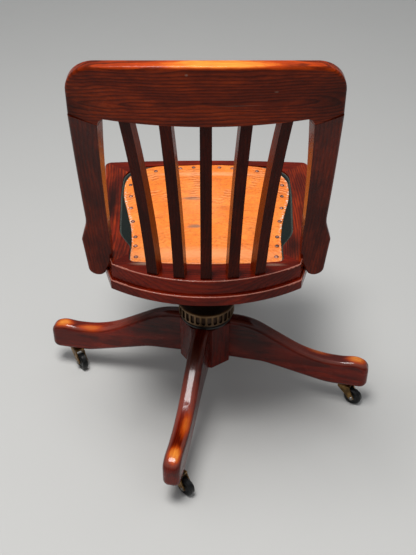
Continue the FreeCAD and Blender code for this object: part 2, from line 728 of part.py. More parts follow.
LUG_INSIDE = "(%s) + sliding_gap" % CHEEK_OUTSIDE
ROD_LUG_INSIDE = "trunnion_width / 2 + sliding_gap"
spider = new_body("seat_spider")
plate = sketch_on(spider, "XY_Plane", PLATE_BOTTOM)
draw(plate, [("-44", "-60"), ("-spider_arm / 2 - 2", "-spider_reach_front - 12"),
             ("spider_arm / 2 + 2", "-spider_reach_front - 12"), ("44", "-60"),
             ("spider_reach_side - 6", "-spider_reach_front + 8"),
             ("spider_reach_side + 10", "-spider_reach_front + 22"), ("64", "-36"), ("64", "36"),
             ("spider_reach_side + 10", "spider_reach_front - 22"),
             ("spider_reach_side - 6", "spider_reach_front - 8"), ("44", "50"), ("-44", "50"),
             ("-spider_reach_side + 6", "spider_reach_front - 8"),
             ("-spider_reach_side - 10", "spider_reach_front - 22"), ("-64", "36"), ("-64", "-36"),
             ("-spider_reach_side - 10", "-spider_reach_front + 22"),
             ("-spider_reach_side + 6", "-spider_reach_front + 8")])
pad(spider, plate, "spider_plate")
for lug_name, inside, thickness, reach, radius in (
        ("tilt", LUG_INSIDE, "lug_thickness", "0", "eye_radius"),
        ("rod", ROD_LUG_INSIDE, "8", "-rod_reach", "9")):
    for side in (1, -1):
        start = inside if side > 0 else "-(%s) - %s" % (inside, thickness)
        lug = sketch_on(spider, "YZ_Plane", start)
        draw(lug, [("%s - %s" % (reach, radius), "pivot_height", radius + " + 0.001", 1),
                   ("%s + %s" % (reach, radius), "pivot_height"),
                   ("%s + %s + 4" % (reach, radius), PLATE_BOTTOM + " + 1"),
                   ("%s - %s - 4" % (reach, radius), PLATE_BOTTOM + " + 1")])
        pad(spider, lug, thickness)
for bore_y, bore_radius in (("0", "pivot_radius"), ("-rod_reach", "trunnion_pin_radius + running_gap")):
    bore = sketch_on(spider, "YZ_Plane")
    draw_circle(bore, bore_y, "pivot_height", bore_radius)
    pocket(spider, bore, "6 * (%s)" % CHEEK_OUTSIDE, middle=True)
rod_clear = sketch_on(spider, "XY_Plane", PLATE_BOTTOM)
draw_circle(rod_clear, "0", "-rod_reach", "9.5")
pocket(spider, rod_clear, "spider_plate", backwards=True)
SCREW_SPOTS = [("%s(spider_reach_side - 8)" % a, "%s(spider_reach_front - 20)" % b)
               for a in ("", "-") for b in ("", "-")]
for spot_x, spot_y in SCREW_SPOTS:
    hole = sketch_on(spider, "XY_Plane", PLATE_BOTTOM)
    draw_circle(hole, spot_x, spot_y, "3.2")
    pocket(spider, hole, "spider_plate", backwards=True)
node(spider, "seat_spider")

pin_half = "(%s) + lug_thickness + 3" % LUG_INSIDE
node(cylinder("tilt_pin_bar", "pivot_radius", "2 * (%s)" % pin_half, "-(%s)" % pin_half, "0", "pivot_height",
              FreeCAD.Rotation(Y_AXIS, 90)), "tilt_pin")

wood_screws = []
for i, (spot_x, spot_y) in enumerate(SCREW_SPOTS):
    wood_screw = turned("spider_screw_%d" % (i + 1), [
        ("0", "-3.2"), ("4", "-2.6"), ("5.6", "0"), ("3", "0"), ("3", "spider_plate + 14"),
        ("0", "spider_plate + 18")])
    wood_screws.append(place(wood_screw, spot_x, spot_y, PLATE_BOTTOM))
node(group("spider_screws", wood_screws), "spider_screws")

trunnion = turned("tension_trunnion", [
    ("0", "-trunnion_width / 2 - 8"), ("trunnion_pin_radius", "-trunnion_width / 2 - 8"),
    ("trunnion_pin_radius", "-trunnion_width / 2"), ("trunnion_radius", "-trunnion_width / 2"),
    ("trunnion_radius", "trunnion_width / 2"), ("trunnion_pin_radius", "trunnion_width / 2"),
    ("trunnion_pin_radius", "trunnion_width / 2 + 8"), ("0", "trunnion_width / 2 + 8")])
rod_bore = sketch_on(trunnion, "XZ_Plane")
draw_circle(rod_bore, "0", "0", "rod_radius + running_gap")
pocket(trunnion, rod_bore, "4 * trunnion_radius", middle=True)
place(trunnion, "0", "-rod_reach", "pivot_height",
      FreeCAD.Rotation(Z_AXIS, 90).multiply(FreeCAD.Rotation(X_AXIS, 90)))
node(trunnion, "tension_trunnion")

rod = turned("tension_rod", [
    ("0", "rod_bottom"), ("rod_radius", "rod_bottom"), ("rod_radius", "pivot_height + trunnion_radius + 0.3"),
    ("8", "pivot_height + trunnion_radius + 0.3"), ("8", "pivot_height + trunnion_radius + 4"),
    ("6", "pivot_height + trunnion_radius + 6"), ("0", "pivot_height + trunnion_radius + 6")])
node(place(rod, "0", "-rod_reach"), "tension_rod")

knob = turned("tension_knob", [
    ("rod_radius", "rod_bottom"), ("knob_radius - 6", "rod_bottom"), ("knob_radius", "rod_bottom + 5"),
    ("knob_radius", "rod_bottom + 12"), ("knob_radius - 8", "rod_bottom + knob_height"),
    ("rod_radius", "rod_bottom + knob_height")])
flute = sketch_on(knob, "XY_Plane", "rod_bottom")
draw_circle(flute, "knob_radius + 3", "0", "5")
first_flute = pocket(knob, flute, "knob_height", backwards=True)
flutes = knob.newObject("PartDesign::PolarPattern", "knob_flutes")
flutes.Originals = [first_flute]
flutes.Axis = ([f for f in knob.Origin.OriginFeatures if f.Role == "Z_Axis"][0], [""])
flutes.Angle = 360
flutes.Occurrences = 8
knob.Tip = flutes
doc.recompute()
node(place(knob, "0", "-rod_reach"), "tension_knob")

SEAT_LOW = "rod_bottom + knob_height + 4"
spring_seat = turned("spring_seat", [
    ("rod_radius + running_gap", SEAT_LOW), ("spring_seat_radius", SEAT_LOW),
    ("spring_seat_radius", SEAT_LOW + " + spring_seat"), ("rod_radius + running_gap", SEAT_LOW + " + spring_seat")])
node(place(spring_seat, "0", "-rod_reach"), "spring_seat")


def helix_spring(radius, wire, low, high, turns, steps_per_turn=4):
    """A round-wire spring swept along biarcs, with flat-lying end turns."""
    climb = high - low - wire

    def spot(t):
        angle = 2 * math.pi * t
        return FreeCAD.Vector(radius * math.cos(angle), radius * math.sin(angle),
                              low + wire / 2 + climb * t / turns)

    def way(t):
        angle = 2 * math.pi * t
        return FreeCAD.Vector(-radius * math.sin(angle), radius * math.cos(angle),
                              climb / (2 * math.pi * turns)).normalize()

    def arc(start, along, end):
        chord = end - start
        unit = FreeCAD.Vector(chord).normalize()
        aside = along - unit * along.dot(unit)
        sagitta = chord.Length / 2 * math.tan(along.getAngle(chord) / 2)
        return Part.Arc(start, (start + end) * 0.5 + aside.normalize() * sagitta, end).toShape()

    edges = []
    count = int(round(turns * steps_per_turn))
    for i in range(count):
        t0, t1 = i / steps_per_turn, (i + 1) / steps_per_turn
        p0, p1, d0, d1 = spot(t0), spot(t1), way(t0), way(t1)
        a, b, c = 2 * (1 - d0.dot(d1)), 2 * (p1 - p0).dot(d0 + d1), -(p1 - p0).dot(p1 - p0)
        d = (-b + math.sqrt(b * b - 4 * a * c)) / (2 * a)
        joint = (p0 + p1 + (d0 - d1) * d) * 0.5
        edges.append(arc(p0, d0, joint))
        edges.append(arc(joint, (p1 - d1 * d - (p0 + d0 * d)).normalize(), p1))
    path = Part.Wire(edges)
    ring_wire = Part.Wire(Part.Circle(spot(0), way(0), wire / 2).toShape())
    shell = Part.BRepOffsetAPI.MakePipeShell(path)
    shell.add(ring_wire)
    shell.build()
    shell.makeSolid()
    print("spring: least gap between turns %.2f" % (climb / turns - wire))
    return shell.shape()


spring = doc.addObject("Part::Feature", "tension_spring_wire")
spring.Shape = helix_spring(size("spring_radius"), size("spring_wire"), size(SEAT_LOW + " + spring_seat"),
                            size(ARM_BOTTOM), size("spring_turns"))
place(spring, "0", "-rod_reach")
node(spring, "tension_spring")


# Seat: mitred frame in two bands, board, cloth, leather and nails

RAIL_BOTTOM = "seat_height - rail_depth"
APRON_BOTTOM = "%s - apron_depth" % RAIL_BOTTOM


def arc_radius(half, bow):
    return "(((%s)^2 + (%s)^2) / (2 * (%s)))" % (half, bow, bow)


def frame_outline(grow):
    front_half, rear_half = "front_half + %s" % grow, "rear_half + %s * 0.5" % grow
    return mirrored({
        "right": [(front_half, "-front_edge - %s" % grow), ("side_half + %s" % grow, "side_end"),
                  (rear_half, "rear_edge + %s" % grow)],
        "rear": (arc_radius(rear_half, "rear_bow"), 1),
        "front": (arc_radius(front_half, "front_bow"), 1)})


def recess_outline(inset):
    front_half, rear_half = "recess_front_half - %s" % inset, "recess_waist_half - %s" % inset
    return mirrored({
        "right": [(front_half, "-recess_front + %s" % inset),
                  ("recess_side_half - %s" % inset, "-recess_side_reach"),
                  ("recess_hip_half - %s" % inset, "recess_hip_reach"),
                  (rear_half, "recess_waist_reach"), (rear_half, "recess_rear - %s" % inset)],
        "rear": (arc_radius(rear_half, "recess_rear_bow"), 1),
        "front": (arc_radius(front_half, "recess_front_bow"), 1)})


def round_recess(body, inset):
    for side in ("", "-"):
        front_half = "%s(recess_front_half - %s)" % (side, inset)
        rear_half = "%s(recess_waist_half - %s)" % (side, inset)
        rounded_corners(body, 2, [
            (front_half, "-recess_front + %s" % inset, "55"),
            ("%s(recess_hip_half - %s)" % (side, inset), "recess_hip_reach", "70"),
            (rear_half, "recess_waist_reach", "16"), (rear_half, "recess_rear - %s" % inset, "12")])


def recess_body(name, inset, low, height):
    body = prism(name, recess_outline(inset), "XY_Plane", height, low)
    round_recess(body, inset)
    return body


def outer_edges(high):
    """The outer edges of a band at its top."""
    def wanted(edge):
        box = edge.BoundBox
        return abs(box.ZMax - high) < 0.01 and abs(box.ZMin - high) < 0.01
    return wanted


upper_blank = prism("rail_blank", frame_outline("0"), "XY_Plane", "rail_depth", RAIL_BOTTOM)
rounded_corners(upper_blank, 2, [("front_half", "-front_edge", "14"), ("-front_half", "-front_edge", "14")])
rounded(upper_blank, "edge_rounding", outer_edges(size("seat_height")))
rebate = recess_body("rebate", "0", "seat_height - recess_depth", "recess_depth + 1")
opening = recess_body("opening", "ledge_width", RAIL_BOTTOM + " - 1", "rail_depth + 2")
upper_ring = boolean("Cut", "upper_ring", boolean("Cut", "upper_rebated", upper_blank, rebate), opening)

lower_blank = prism("apron_blank", frame_outline("apron_lip"), "XY_Plane", "apron_depth", APRON_BOTTOM)
rounded_corners(lower_blank, 2, [("front_half + apron_lip", "-front_edge - apron_lip", "18"),
                                 ("-(front_half + apron_lip)", "-front_edge - apron_lip", "18")])
rounded(lower_blank, "edge_rounding", outer_edges(size(RAIL_BOTTOM)))
apron_hole = prism("apron_hole", frame_outline("(-apron_width + apron_lip)"), "XY_Plane", "apron_depth + 2",
                   APRON_BOTTOM + " - 1")
lower_ring = boolean("Cut", "lower_ring", lower_blank, apron_hole)

REACH = "400"
FRONT_OUT = "-mitre_front_reach - mitre_front_slope * (%s - mitre_front_half)" % REACH
REAR_OUT = "mitre_rear_reach + mitre_rear_slope * (%s - mitre_rear_half)" % REACH
FRONT_IN, REAR_IN = "-mitre_front_reach", "mitre_rear_reach"
WEDGES = {
    "front": [("-mitre_front_half", FRONT_IN), ("-" + REACH, FRONT_OUT), (REACH, FRONT_OUT),
              ("mitre_front_half", FRONT_IN)],
    "rear": [("mitre_rear_half", REAR_IN), (REACH, REAR_OUT), ("-" + REACH, REAR_OUT),
             ("-mitre_rear_half", REAR_IN)],
    "left": [("mitre_front_half", FRONT_IN), (REACH, FRONT_OUT), (REACH, REAR_OUT),
             ("mitre_rear_half", REAR_IN)],
    "right": [("-mitre_rear_half", REAR_IN), ("-" + REACH, REAR_OUT), ("-" + REACH, FRONT_OUT),
              ("-mitre_front_half", FRONT_IN)]}
rails, aprons = {}, {}
for part_side, corners in WEDGES.items():
    wedge = prism("wedge_" + part_side, corners, "XY_Plane", "rail_depth + apron_depth + 2",
                  APRON_BOTTOM + " - 1")
    rails[part_side] = boolean("Common", "rail_" + part_side, upper_ring, wedge)
    aprons[part_side] = boolean("Common", "apron_" + part_side, lower_ring, wedge)


# Back: slats, crest rail and stiles

SLAT_RISE = "crest_bottom - seat_height"


def slat(name, step, gap):
    """A bent slat with a tenon at each end; a positive gap makes the mortise for it."""
    foot_x, head_x, turned_by = ("(%s * %s)" % (step, each) for each in ("slat_pitch", "slat_head_pitch",
                                                                         "slat_turn"))
    seat_curve = arc_radius("rear_half", "rear_bow")
    foot_y = "(rear_edge + rear_bow - %s + sqrt(%s^2 - %s^2) - slat_inset)" % (seat_curve, seat_curve, foot_x)
    head_y = "(crest_back - crest_radius + sqrt(crest_radius^2 - %s^2) - slat_head_inset)" % head_x
    lean = "((%s - %s) / cos(%s))" % (head_y, foot_y, turned_by)
    bend = arc_radius("sqrt(%s^2 + (%s)^2) / 2" % (lean, SLAT_RISE), "slat_bow")
    run = "(%s / (%s) + 4 * slat_bow / (%s)) * tenon_length" % (lean, SLAT_RISE, SLAT_RISE)
    back, front_foot = "(%s)" % gap, "-slat_foot_depth - (%s)" % gap
    back_head = "%s + (%s)" % (lean, gap)
    front_head = "%s - slat_head_depth - (%s)" % (lean, gap)
    side_view = prism(name + "_side", [
        (back, "-tenon_length"), (back, "0", bend, -1), (back_head, SLAT_RISE),
        ("%s + %s" % (back_head, run), SLAT_RISE + " + tenon_length"),
        ("%s + %s" % (front_head, run), SLAT_RISE + " + tenon_length"),
        (front_head, SLAT_RISE, bend, 1), (front_foot, "0"), (front_foot, "-tenon_length")],
        "YZ_Plane", "2 * slat_width", middle=True)
    foot_half, head_half = "(slat_width / 2 + %s)" % gap, "(slat_head_width / 2 + %s)" % gap
    back_view = prism(name + "_width", [
        ("-" + foot_half, "-tenon_length - 1"), (foot_half, "-tenon_length - 1"),
        (head_half, SLAT_RISE + " + tenon_length + 1"), ("-" + head_half, SLAT_RISE + " + tenon_length + 1")],
        "XZ_Plane", "400", middle=True)
    shaped = boolean("Common", name, side_view, back_view)
    outwards = FreeCAD.Rotation(Z_AXIS, -size(turned_by))
    drift = size("%s - %s - %s * sin(%s)" % (head_x, foot_x, lean, turned_by))
    splay = FreeCAD.Rotation(Y_AXIS, math.degrees(math.asin(drift / size(SLAT_RISE))))
    return place(shaped, foot_x, foot_y, "seat_height", outwards.multiply(splay))


SLAT_STEPS = [i - (int(size("slat_count")) - 1) / 2 for i in range(int(size("slat_count")))]
for i, step in enumerate(SLAT_STEPS):
    node(slat("slat_%d" % (i + 1), step, "0"), "slat_%d" % (i + 1))
mortises = group("mortises", [slat("mortise_%d" % (i + 1), step, "tenon_gap") for i, step in enumerate(SLAT_STEPS)])

rails["rear"] = boolean("Cut", "rear_rail_mortised", rails["rear"], mortises)

CREST_START = "joint_inside - 8"
crest_band = new_body("crest_band")
plan = sketch_on(crest_band, "XY_Plane", CREST_START)
half = "(crest_half + 8)"
start_back = "crest_back - crest_rake * (crest_bottom - (%s))" % CREST_START
end_fall = "crest_radius - sqrt(crest_radius^2 - %s^2)" % half
front_radius = "(crest_radius - crest_thickness)"
front_fall = "%s - sqrt(%s^2 - %s^2)" % (front_radius, front_radius, half)
draw(plan, [("-" + half, "%s - (%s)" % (start_back, end_fall), "crest_radius", -1),
            (half, "%s - (%s)" % (start_back, end_fall)),
            (half, "%s - crest_thickness - (%s)" % (start_back, front_fall), front_radius, 1),
            ("-" + half, "%s - crest_thickness - (%s)" % (start_back, front_fall))])
band = pad(crest_band, plan, "crest_top - (%s) + 5" % CREST_START)
band.UseCustomVector = True
band.Direction = FreeCAD.Vector(0, size("crest_rake"), 1)
band.AlongSketchNormal = True
doc.recompute()

CREST_END_TOP = "crest_top - crest_fall"
JOINT_SLOPE = "(joint_outside - joint_inside) / (crest_half - window_half)"
crest_shape = prism("crest_outline", [
    ("window_half - 30", "joint_inside - 30 * " + JOINT_SLOPE), ("crest_half", "joint_outside"),
    ("crest_top_half", CREST_END_TOP, arc_radius("crest_top_half", "crest_fall"), 1),
    ("-crest_top_half", CREST_END_TOP), ("-crest_half", "joint_outside"),
    ("-window_half + 30", "joint_inside - 30 * " + JOINT_SLOPE)], "XZ_Plane", "900", middle=True)
rounded_corners(crest_shape, 1, [
    ("crest_top_half", CREST_END_TOP, "crest_corner"), ("-crest_top_half", CREST_END_TOP, "crest_corner")])

STILE_TURN = "asin(stile_centre / crest_radius)"
WINDOW_BACK = "crest_back - crest_radius + sqrt(crest_radius^2 - window_half^2)"
window = new_body("window")
window_ends = []
for depth in ("-60", "60"):
    end = sketch_on(window, "XZ_Plane", "-(%s) + (%s)" % (WINDOW_BACK, depth))
    half = "(window_half - (%s) * tan(%s))" % (depth, STILE_TURN)
    draw(end, [("-" + half, "joint_inside - 60"), (half, "joint_inside - 60"),
               (half, "crest_bottom + crest_sweep - window_corner", "window_corner * sqrt(2) - 1", 1),
               (half + " - window_corner", "crest_bottom + crest_sweep",
                arc_radius("(%s - window_corner)" % half, "crest_sweep"), -1),
               ("-" + half + " + window_corner", "crest_bottom + crest_sweep", "window_corner * sqrt(2) - 1", 1),
               ("-" + half, "crest_bottom + crest_sweep - window_corner")])
    window_ends.append(end)
window_loft = window.newObject("PartDesign::AdditiveLoft", "window_loft")
window_loft.Profile = window_ends[0]
window_loft.Sections = window_ends[1:]
window_loft.Ruled = True
doc.recompute()
crest_raw = boolean("Cut", "crest_raw", boolean("Common", "crest_solid", crest_band, crest_shape), window)


def eased(name, base, radius, wanted):
    """Rounds the picked edges of a finished boolean."""
    fillet = doc.addObject("Part::Fillet", name + "_eased")
    fillet.Base = base
    reach = size(radius)
    fillet.Edges = [(i + 1, reach, reach) for i, edge in enumerate(base.Shape.Edges) if wanted(edge)]
    base.Visibility = False
    doc.recompute()
    return fillet


crest_level = size("joint_outside") + 1


def crest_rim(edge):
    """Front and back edges of the crest rail's ends and top."""
    box = edge.BoundBox
    if box.ZMin < crest_level - 2 or box.ZMax < crest_level + 5:
        return False
    faces = crest_raw.Shape.ancestorsOfType(edge, Part.Face)
    return len(faces) == 2 and edge.Length > 12


crest = eased("crest_rail", crest_raw, "crest_rounding", crest_rim)
node(boolean("Cut", "crest_rail", crest, mortises), "crest_rail")


STILE_HEAD_BACK = ("(crest_back - crest_rake * (crest_bottom - joint_inside) - crest_radius"
                   " + sqrt(crest_radius^2 - stile_centre^2))")
INNER_FOOT = "(seat_height - 8)"


def stile_back(height):
    """How far back a stile's back face is at a height."""
    span = "(joint_inside - stile_bottom)"
    return ("(stile_foot_back + (%s - stile_bottom) * (%s - stile_foot_back) / %s"
            " - stile_bow * (1 - ((%s - stile_bottom - %s / 2) / (%s / 2))^2))" % (
                height, STILE_HEAD_BACK, span, height, span, span))


def stile_inner(height):
    """How far out a stile's inner edge is at a height."""
    return "(stile_inside + 1 - (stile_inside + 1 - window_half) * ((%s - %s) / (joint_inside - %s))^3)" % (
        height, INNER_FOOT, INNER_FOOT)


STILE_LEVELS = [("(stile_bottom - 12)", "0"), ("seat_height", "0"), ("waist_height", "0.15"),
                ("((waist_height + joint_inside) / 2 - 10)", "0.5"), ("(joint_inside - 40)", "0.85"),
                ("(joint_outside + 10)", "1")]


def stile_band(name, side):
    """The bent board that a stile is cut from: a loft through level sections that turn as they rise."""
    body = new_body(name)
    upright = [f for f in body.Origin.OriginFeatures if f.Role == "XY_Plane"][0]
    sections = []
    for height, share in STILE_LEVELS:
        section = body.newObject("Sketcher::SketchObject", name + "_section")
        section.AttachmentSupport = [(upright, "")]
        section.MapMode = "FlatFace"
        across = "%d * stile_centre" % side
        twist = "%s * %s" % (share, STILE_TURN)
        section.AttachmentOffset = FreeCAD.Placement(
            FreeCAD.Vector(size(across), size(stile_back(height)), size(height)),
            FreeCAD.Rotation(Z_AXIS, -side * size(twist)))
        for axis, text in (("x", across), ("y", stile_back(height)), ("z", height)):
            section.setExpression("AttachmentOffset.Base." + axis, bound(text))
        inner = "(stile_centre - %s) / cos(%s)" % (
            "stile_inside - 1" if height.startswith("(stile_bottom") else stile_inner(height), twist)
        draw(section, box_corners("-(%s)" % inner, "-stile_thickness", "54", "0") if side > 0
             else box_corners("-54", "-stile_thickness", inner, "0"))
        sections.append(section)
    loft = body.newObject("PartDesign::AdditiveLoft", name + "_loft")
    loft.Profile = sections[0]
    loft.Sections = sections[1:]
    loft.Ruled = False
    doc.recompute()
    return body


def stile(name, side):
    sign = "" if side > 0 else "-"

    def at(text):
        return "%s(%s)" % (sign, text)

    body = stile_band(name + "_board", side)
    corners = [
        (at("window_half - 30"), "joint_inside - 30 * " + JOINT_SLOPE), (at("stile_inside - 40"), "seat_height + 70"),
        (at("stile_inside + 1.3"), "seat_height + 14"), (at("stile_inside + 1.3"), "seat_height - 8"),
        (at("stile_inside + 20"), "stile_bottom"), (at("stile_flare - 5"), "stile_bottom"),
        (at("stile_flare"), "flare_height"),
        (at("stile_outside"), "waist_height - 6", "stile_side_bend", side),
        (at("crest_half"), "joint_outside")]
    outline = prism(name + "_outline", corners, "XZ_Plane", "900", middle=True)
    rounded_corners(outline, 1, [
        (at("stile_inside + 1.3"), "seat_height - 8", "20"), (at("stile_inside + 20"), "stile_bottom", "13"),
        (at("stile_flare - 5"), "stile_bottom", "18"), (at("stile_flare"), "flare_height", "12"),
        (at("stile_outside"), "waist_height - 6", "90")])
    raw = boolean("Common", name + "_raw", body, outline)
    waist = size("stile_outside") - 16

    def outer(edge):
        box = edge.BoundBox
        return edge.Length > 8 and min(abs(box.XMin), abs(box.XMax)) > waist - 4 and box.YLength < edge.Length * 0.95

    return eased(name, raw, "stile_rounding", outer)


stiles = {"left": stile("left_stile", 1), "right": stile("right_stile", -1)}
for part_side, thing in stiles.items():
    node(thing, part_side + "_stile")
    rails[part_side] = boolean("Cut", part_side + "_rail_housed", rails[part_side], thing)
    rails["rear"] = boolean("Cut", "rear_rail_" + part_side, rails["rear"], thing)
    aprons[part_side] = boolean("Cut", part_side + "_apron_housed", aprons[part_side], thing)
    aprons["rear"] = boolean("Cut", "rear_apron_" + part_side, aprons["rear"], thing)
for part_side in WEDGES:
    node(rails[part_side], part_side + "_rail")
    node(aprons[part_side], part_side + "_apron")

for part_side, side in (("left", 1), ("right", -1)):
    inner_front = "front_edge - apron_width + apron_lip + 6"
    batten = block(part_side + "_batten_bar", "%d * batten_half - batten_width / 2" % side,
                   "-(%s)" % inner_front, APRON_BOTTOM, "batten_width",
                   "(%s) + rear_edge + 8" % inner_front, "apron_depth")
    node(batten, part_side + "_batten")

BOARD_TOP = "seat_height - recess_depth + board_thickness"
node(recess_body("seat_board", "sliding_gap", "seat_height - recess_depth", "board_thickness"), "seat_board")
node(recess_body("seat_cloth", "sliding_gap", BOARD_TOP, "felt_thickness"), "seat_cloth")

LEATHER_BOTTOM = BOARD_TOP + " + felt_thickness"
leather_blank = prism("leather_blank", mirrored({
    "right": [("leather_front_half", "-leather_front"), ("leather_front_half", "-leather_side_reach"),
              ("leather_waist_half", "leather_waist_reach"), ("leather_waist_half", "leather_rear")],
    "rear": (arc_radius("leather_waist_half", "leather_rear_bow"), 1),
    "front": (arc_radius("leather_front_half", "leather_front_bow"), 1)}),
    "XY_Plane", "leather_edge + leather_crown + 2", LEATHER_BOTTOM)
for sign in ("", "-"):
    rounded_corners(leather_blank, 2, [
        (sign + "leather_front_half", "-leather_front", "78"),
        (sign + "leather_front_half", "-leather_side_reach", "250"),
        (sign + "leather_waist_half", "leather_waist_reach", "400"),
        (sign + "leather_waist_half", "leather_rear", "10")])
dome = doc.addObject("Part::Sphere", "leather_dome")
dome_radius = "((leather_front_half + 40)^2 + leather_crown^2) / (2 * leather_crown)"
dome.Radius = size(dome_radius)
dome.setExpression("Radius", bound(dome_radius))
place(dome, "0", "-30", "%s + leather_edge + leather_crown - (%s)" % (LEATHER_BOTTOM, dome_radius))
node(boolean("Common", "seat_leather", leather_blank, dome), "seat_leather")


def leather_level(x, y):
    """Top of the leather at a place."""
    radius = size(dome_radius)
    centre = size("%s + leather_edge + leather_crown - (%s)" % (LEATHER_BOTTOM, dome_radius))
    return centre + math.sqrt(radius ** 2 - x ** 2 - (y + 30) ** 2)


# Nail rows on the right half, each from one place to another with a count
NAIL_ROWS = [((0, -191), (27, -190.5), 2), ((54, -187), (80, -183), 2), ((105, -177), (129, -164), 2),
             ((153, -122), (146, -36), 3), ((139, 10), (131, 60), 2), ((129, 88), (126, 120), 2)]
nails = []
for (x0, y0), (x1, y1), count in NAIL_ROWS:
    for i in range(count):
        share = i / (count - 1)
        for side in (1, -1):
            x, y = side * (x0 + (x1 - x0) * share), y0 + (y1 - y0) * share
            if side < 0 and x == 0:
                continue
            nail = turned("nail", [
                ("0", "-nail_length"), ("0.9", "-nail_length + 2"), ("0.9", "0"), ("nail_radius", "0"),
                ("nail_radius * 0.75", "nail_head * 0.7"), ("0", "nail_head")])
            nails.append(place(nail, str(x), str(y), str(leather_level(x, y) - 0.05)))
node(group("upholstery_nails", nails), "upholstery_nails")

screws = []
for part_side, side in (("left", 1), ("right", -1)):
    for height in ("seat_height - 9", "seat_height - 21"):
        screw_body = turned("stile_screw", [
            ("0", "0"), ("stile_screw_head", "0"), ("stile_screw_radius", "3"),
            ("stile_screw_radius", "stile_screw_length - 6"), ("0", "stile_screw_length")])
        inwards = FreeCAD.Rotation(Y_AXIS, -90 * side)
        screws.append(place(screw_body, "%d * (stile_flare - 5)" % side,
                            "(%s) - stile_thickness / 2" % stile_back("seat_height"), height, inwards))
node(group("stile_screws", screws), "stile_screws")


# Checks and files

doc.recompute()
for thing in doc.Objects:
    if "Invalid" in thing.State or "Error" in thing.State:
        raise RuntimeError("%s: %s" % (thing.Label, thing.State))
for name, thing in NODES.items():
    if thing.Shape.isNull() or not thing.Shape.isValid() or not thing.Shape.Solids:
        raise RuntimeError(name + " has no valid shape")
os.makedirs("parts", exist_ok=True)
for name, thing in NODES.items():
    thing.Shape.exportStep("parts/%s.step" % name)
print("%d sub-parts" % len(NODES))
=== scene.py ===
import math
import random

import bmesh
import bpy
from bpy.props import FloatProperty, FloatVectorProperty, PointerProperty
from mathutils import Euler, Matrix, Vector, noise


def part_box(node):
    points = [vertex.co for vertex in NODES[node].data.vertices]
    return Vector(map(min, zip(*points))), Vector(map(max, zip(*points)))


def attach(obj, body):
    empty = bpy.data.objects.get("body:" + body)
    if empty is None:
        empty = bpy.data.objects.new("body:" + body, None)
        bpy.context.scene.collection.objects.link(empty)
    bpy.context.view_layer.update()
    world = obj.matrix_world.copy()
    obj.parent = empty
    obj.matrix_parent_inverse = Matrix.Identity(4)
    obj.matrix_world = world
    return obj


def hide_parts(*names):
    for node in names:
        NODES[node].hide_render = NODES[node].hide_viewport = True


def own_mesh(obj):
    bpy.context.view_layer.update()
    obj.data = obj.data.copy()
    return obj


bl_info = {
    "name": "Bankers Swivel Chair",
    "version": (1, 0, 0),
    "blender": (4, 5, 0),
    "location": "3D View > Sidebar > Chair",
    "description": "Dresses the packed swivel chair: varnished wood, ironwork, nailed leather and casters",
    "category": "Object",
}

# Metres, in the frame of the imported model: the chair faces -Y, its back is towards +Y, up is +Z
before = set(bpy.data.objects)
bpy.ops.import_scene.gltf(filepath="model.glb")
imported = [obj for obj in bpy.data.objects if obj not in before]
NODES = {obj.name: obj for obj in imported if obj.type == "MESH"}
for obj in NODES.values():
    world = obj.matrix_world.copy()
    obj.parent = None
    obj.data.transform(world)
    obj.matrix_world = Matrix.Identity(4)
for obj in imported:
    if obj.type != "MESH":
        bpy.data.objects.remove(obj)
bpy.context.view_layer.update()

LEG_COUNT = 4
LEG_YAW = -11.1
SLAT_COUNT = 5
QUARTER = math.pi / 2

# Turns that lay a board's grain along X
FRONT_TO_BACK = (0.0, 0.0, -QUARTER)
SIDE_TO_SIDE = (0.0, 0.0, 0.0)
UPRIGHT = (0.0, QUARTER, 0.0)


def paint(code):
    """A colour written as its six screen digits, in the linear values that shaders take."""
    parts = [int(code[i:i + 2], 16) / 255 for i in (1, 3, 5)]
    return tuple(c / 12.92 if c <= 0.04045 else ((c + 0.055) / 1.055) ** 2.4 for c in parts)


# Sizes and colours

def colour(name, description, code):
    return FloatVectorProperty(name=name, description=description, subtype="COLOR", size=3, min=0, max=1,
                               default=paint(code))


def length(name, description, default):
    return FloatProperty(name=name, description=description, subtype="DISTANCE", unit="LENGTH", min=0,
                         precision=4, default=default)


def share(name, description, default):
    return FloatProperty(name=name, description=description, subtype="FACTOR", min=0, max=1, default=default)


class ChairWood(bpy.types.PropertyGroup):
    # Besides the darkest stain, this colour is laid as painted shade at the legs' roots under the seat and
    # along the rear rail where the slats stand.
    shadow: colour("Deep stain", "Stain where it is darkest", "#160300")
    stain: colour("Stain", "Red-brown stain over most of the wood", "#6e1d05")
    cherry: colour("Red stain", "Redder stain on the legs and the seat frame", "#741206")
    # Also laid as painted light on the faces that turn to the sides, through lit_sides.
    amber: colour("Amber grain", "Open grain under the varnish", "#a43807")
    # Along the crest's top edge this worn colour is also a painted highlight.
    worn_and_sheen: colour("Worn varnish", "Where hands and shoes have rubbed it off", "#e38a34")
    # Painted highlight: laid on the rounded edges that face upwards, standing in for the light they catch.
    edge: colour("Edge wear", "Thinned varnish along the rounded edges", "#cf8a78")
    scuff: colour("Scuffs", "Pale scratches in the varnish", "#9c7b68")
    raw: colour("Bare wood", "Unvarnished wood under the seat", "#8a6a49")
    gloss: share("Varnish roughness", "How dull the varnish is", 0.2)
    grain_height: length("Grain height", "How deep the pores sit in the varnish", 0.0003)


class ChairMetal(bpy.types.PropertyGroup):
    iron: colour("Japanned iron", "Black paint on the castings", "#1b1715")
    bronze: colour("Bronzed iron", "Hollows of the adjusting ring", "#38261a")
    rubbed: colour("Rubbed bronze", "Ribs of the adjusting ring", "#806342")
    brass: colour("Brass", "Caster forks", "#a8814a")
    steel: colour("Steel", "Screw, pins and axles", "#8d8b88")
    tread: colour("Caster tread", "Hard black caster wheels", "#090a0b")
    nail: colour("Nail", "Heads of the upholstery nails", "#4a2418")


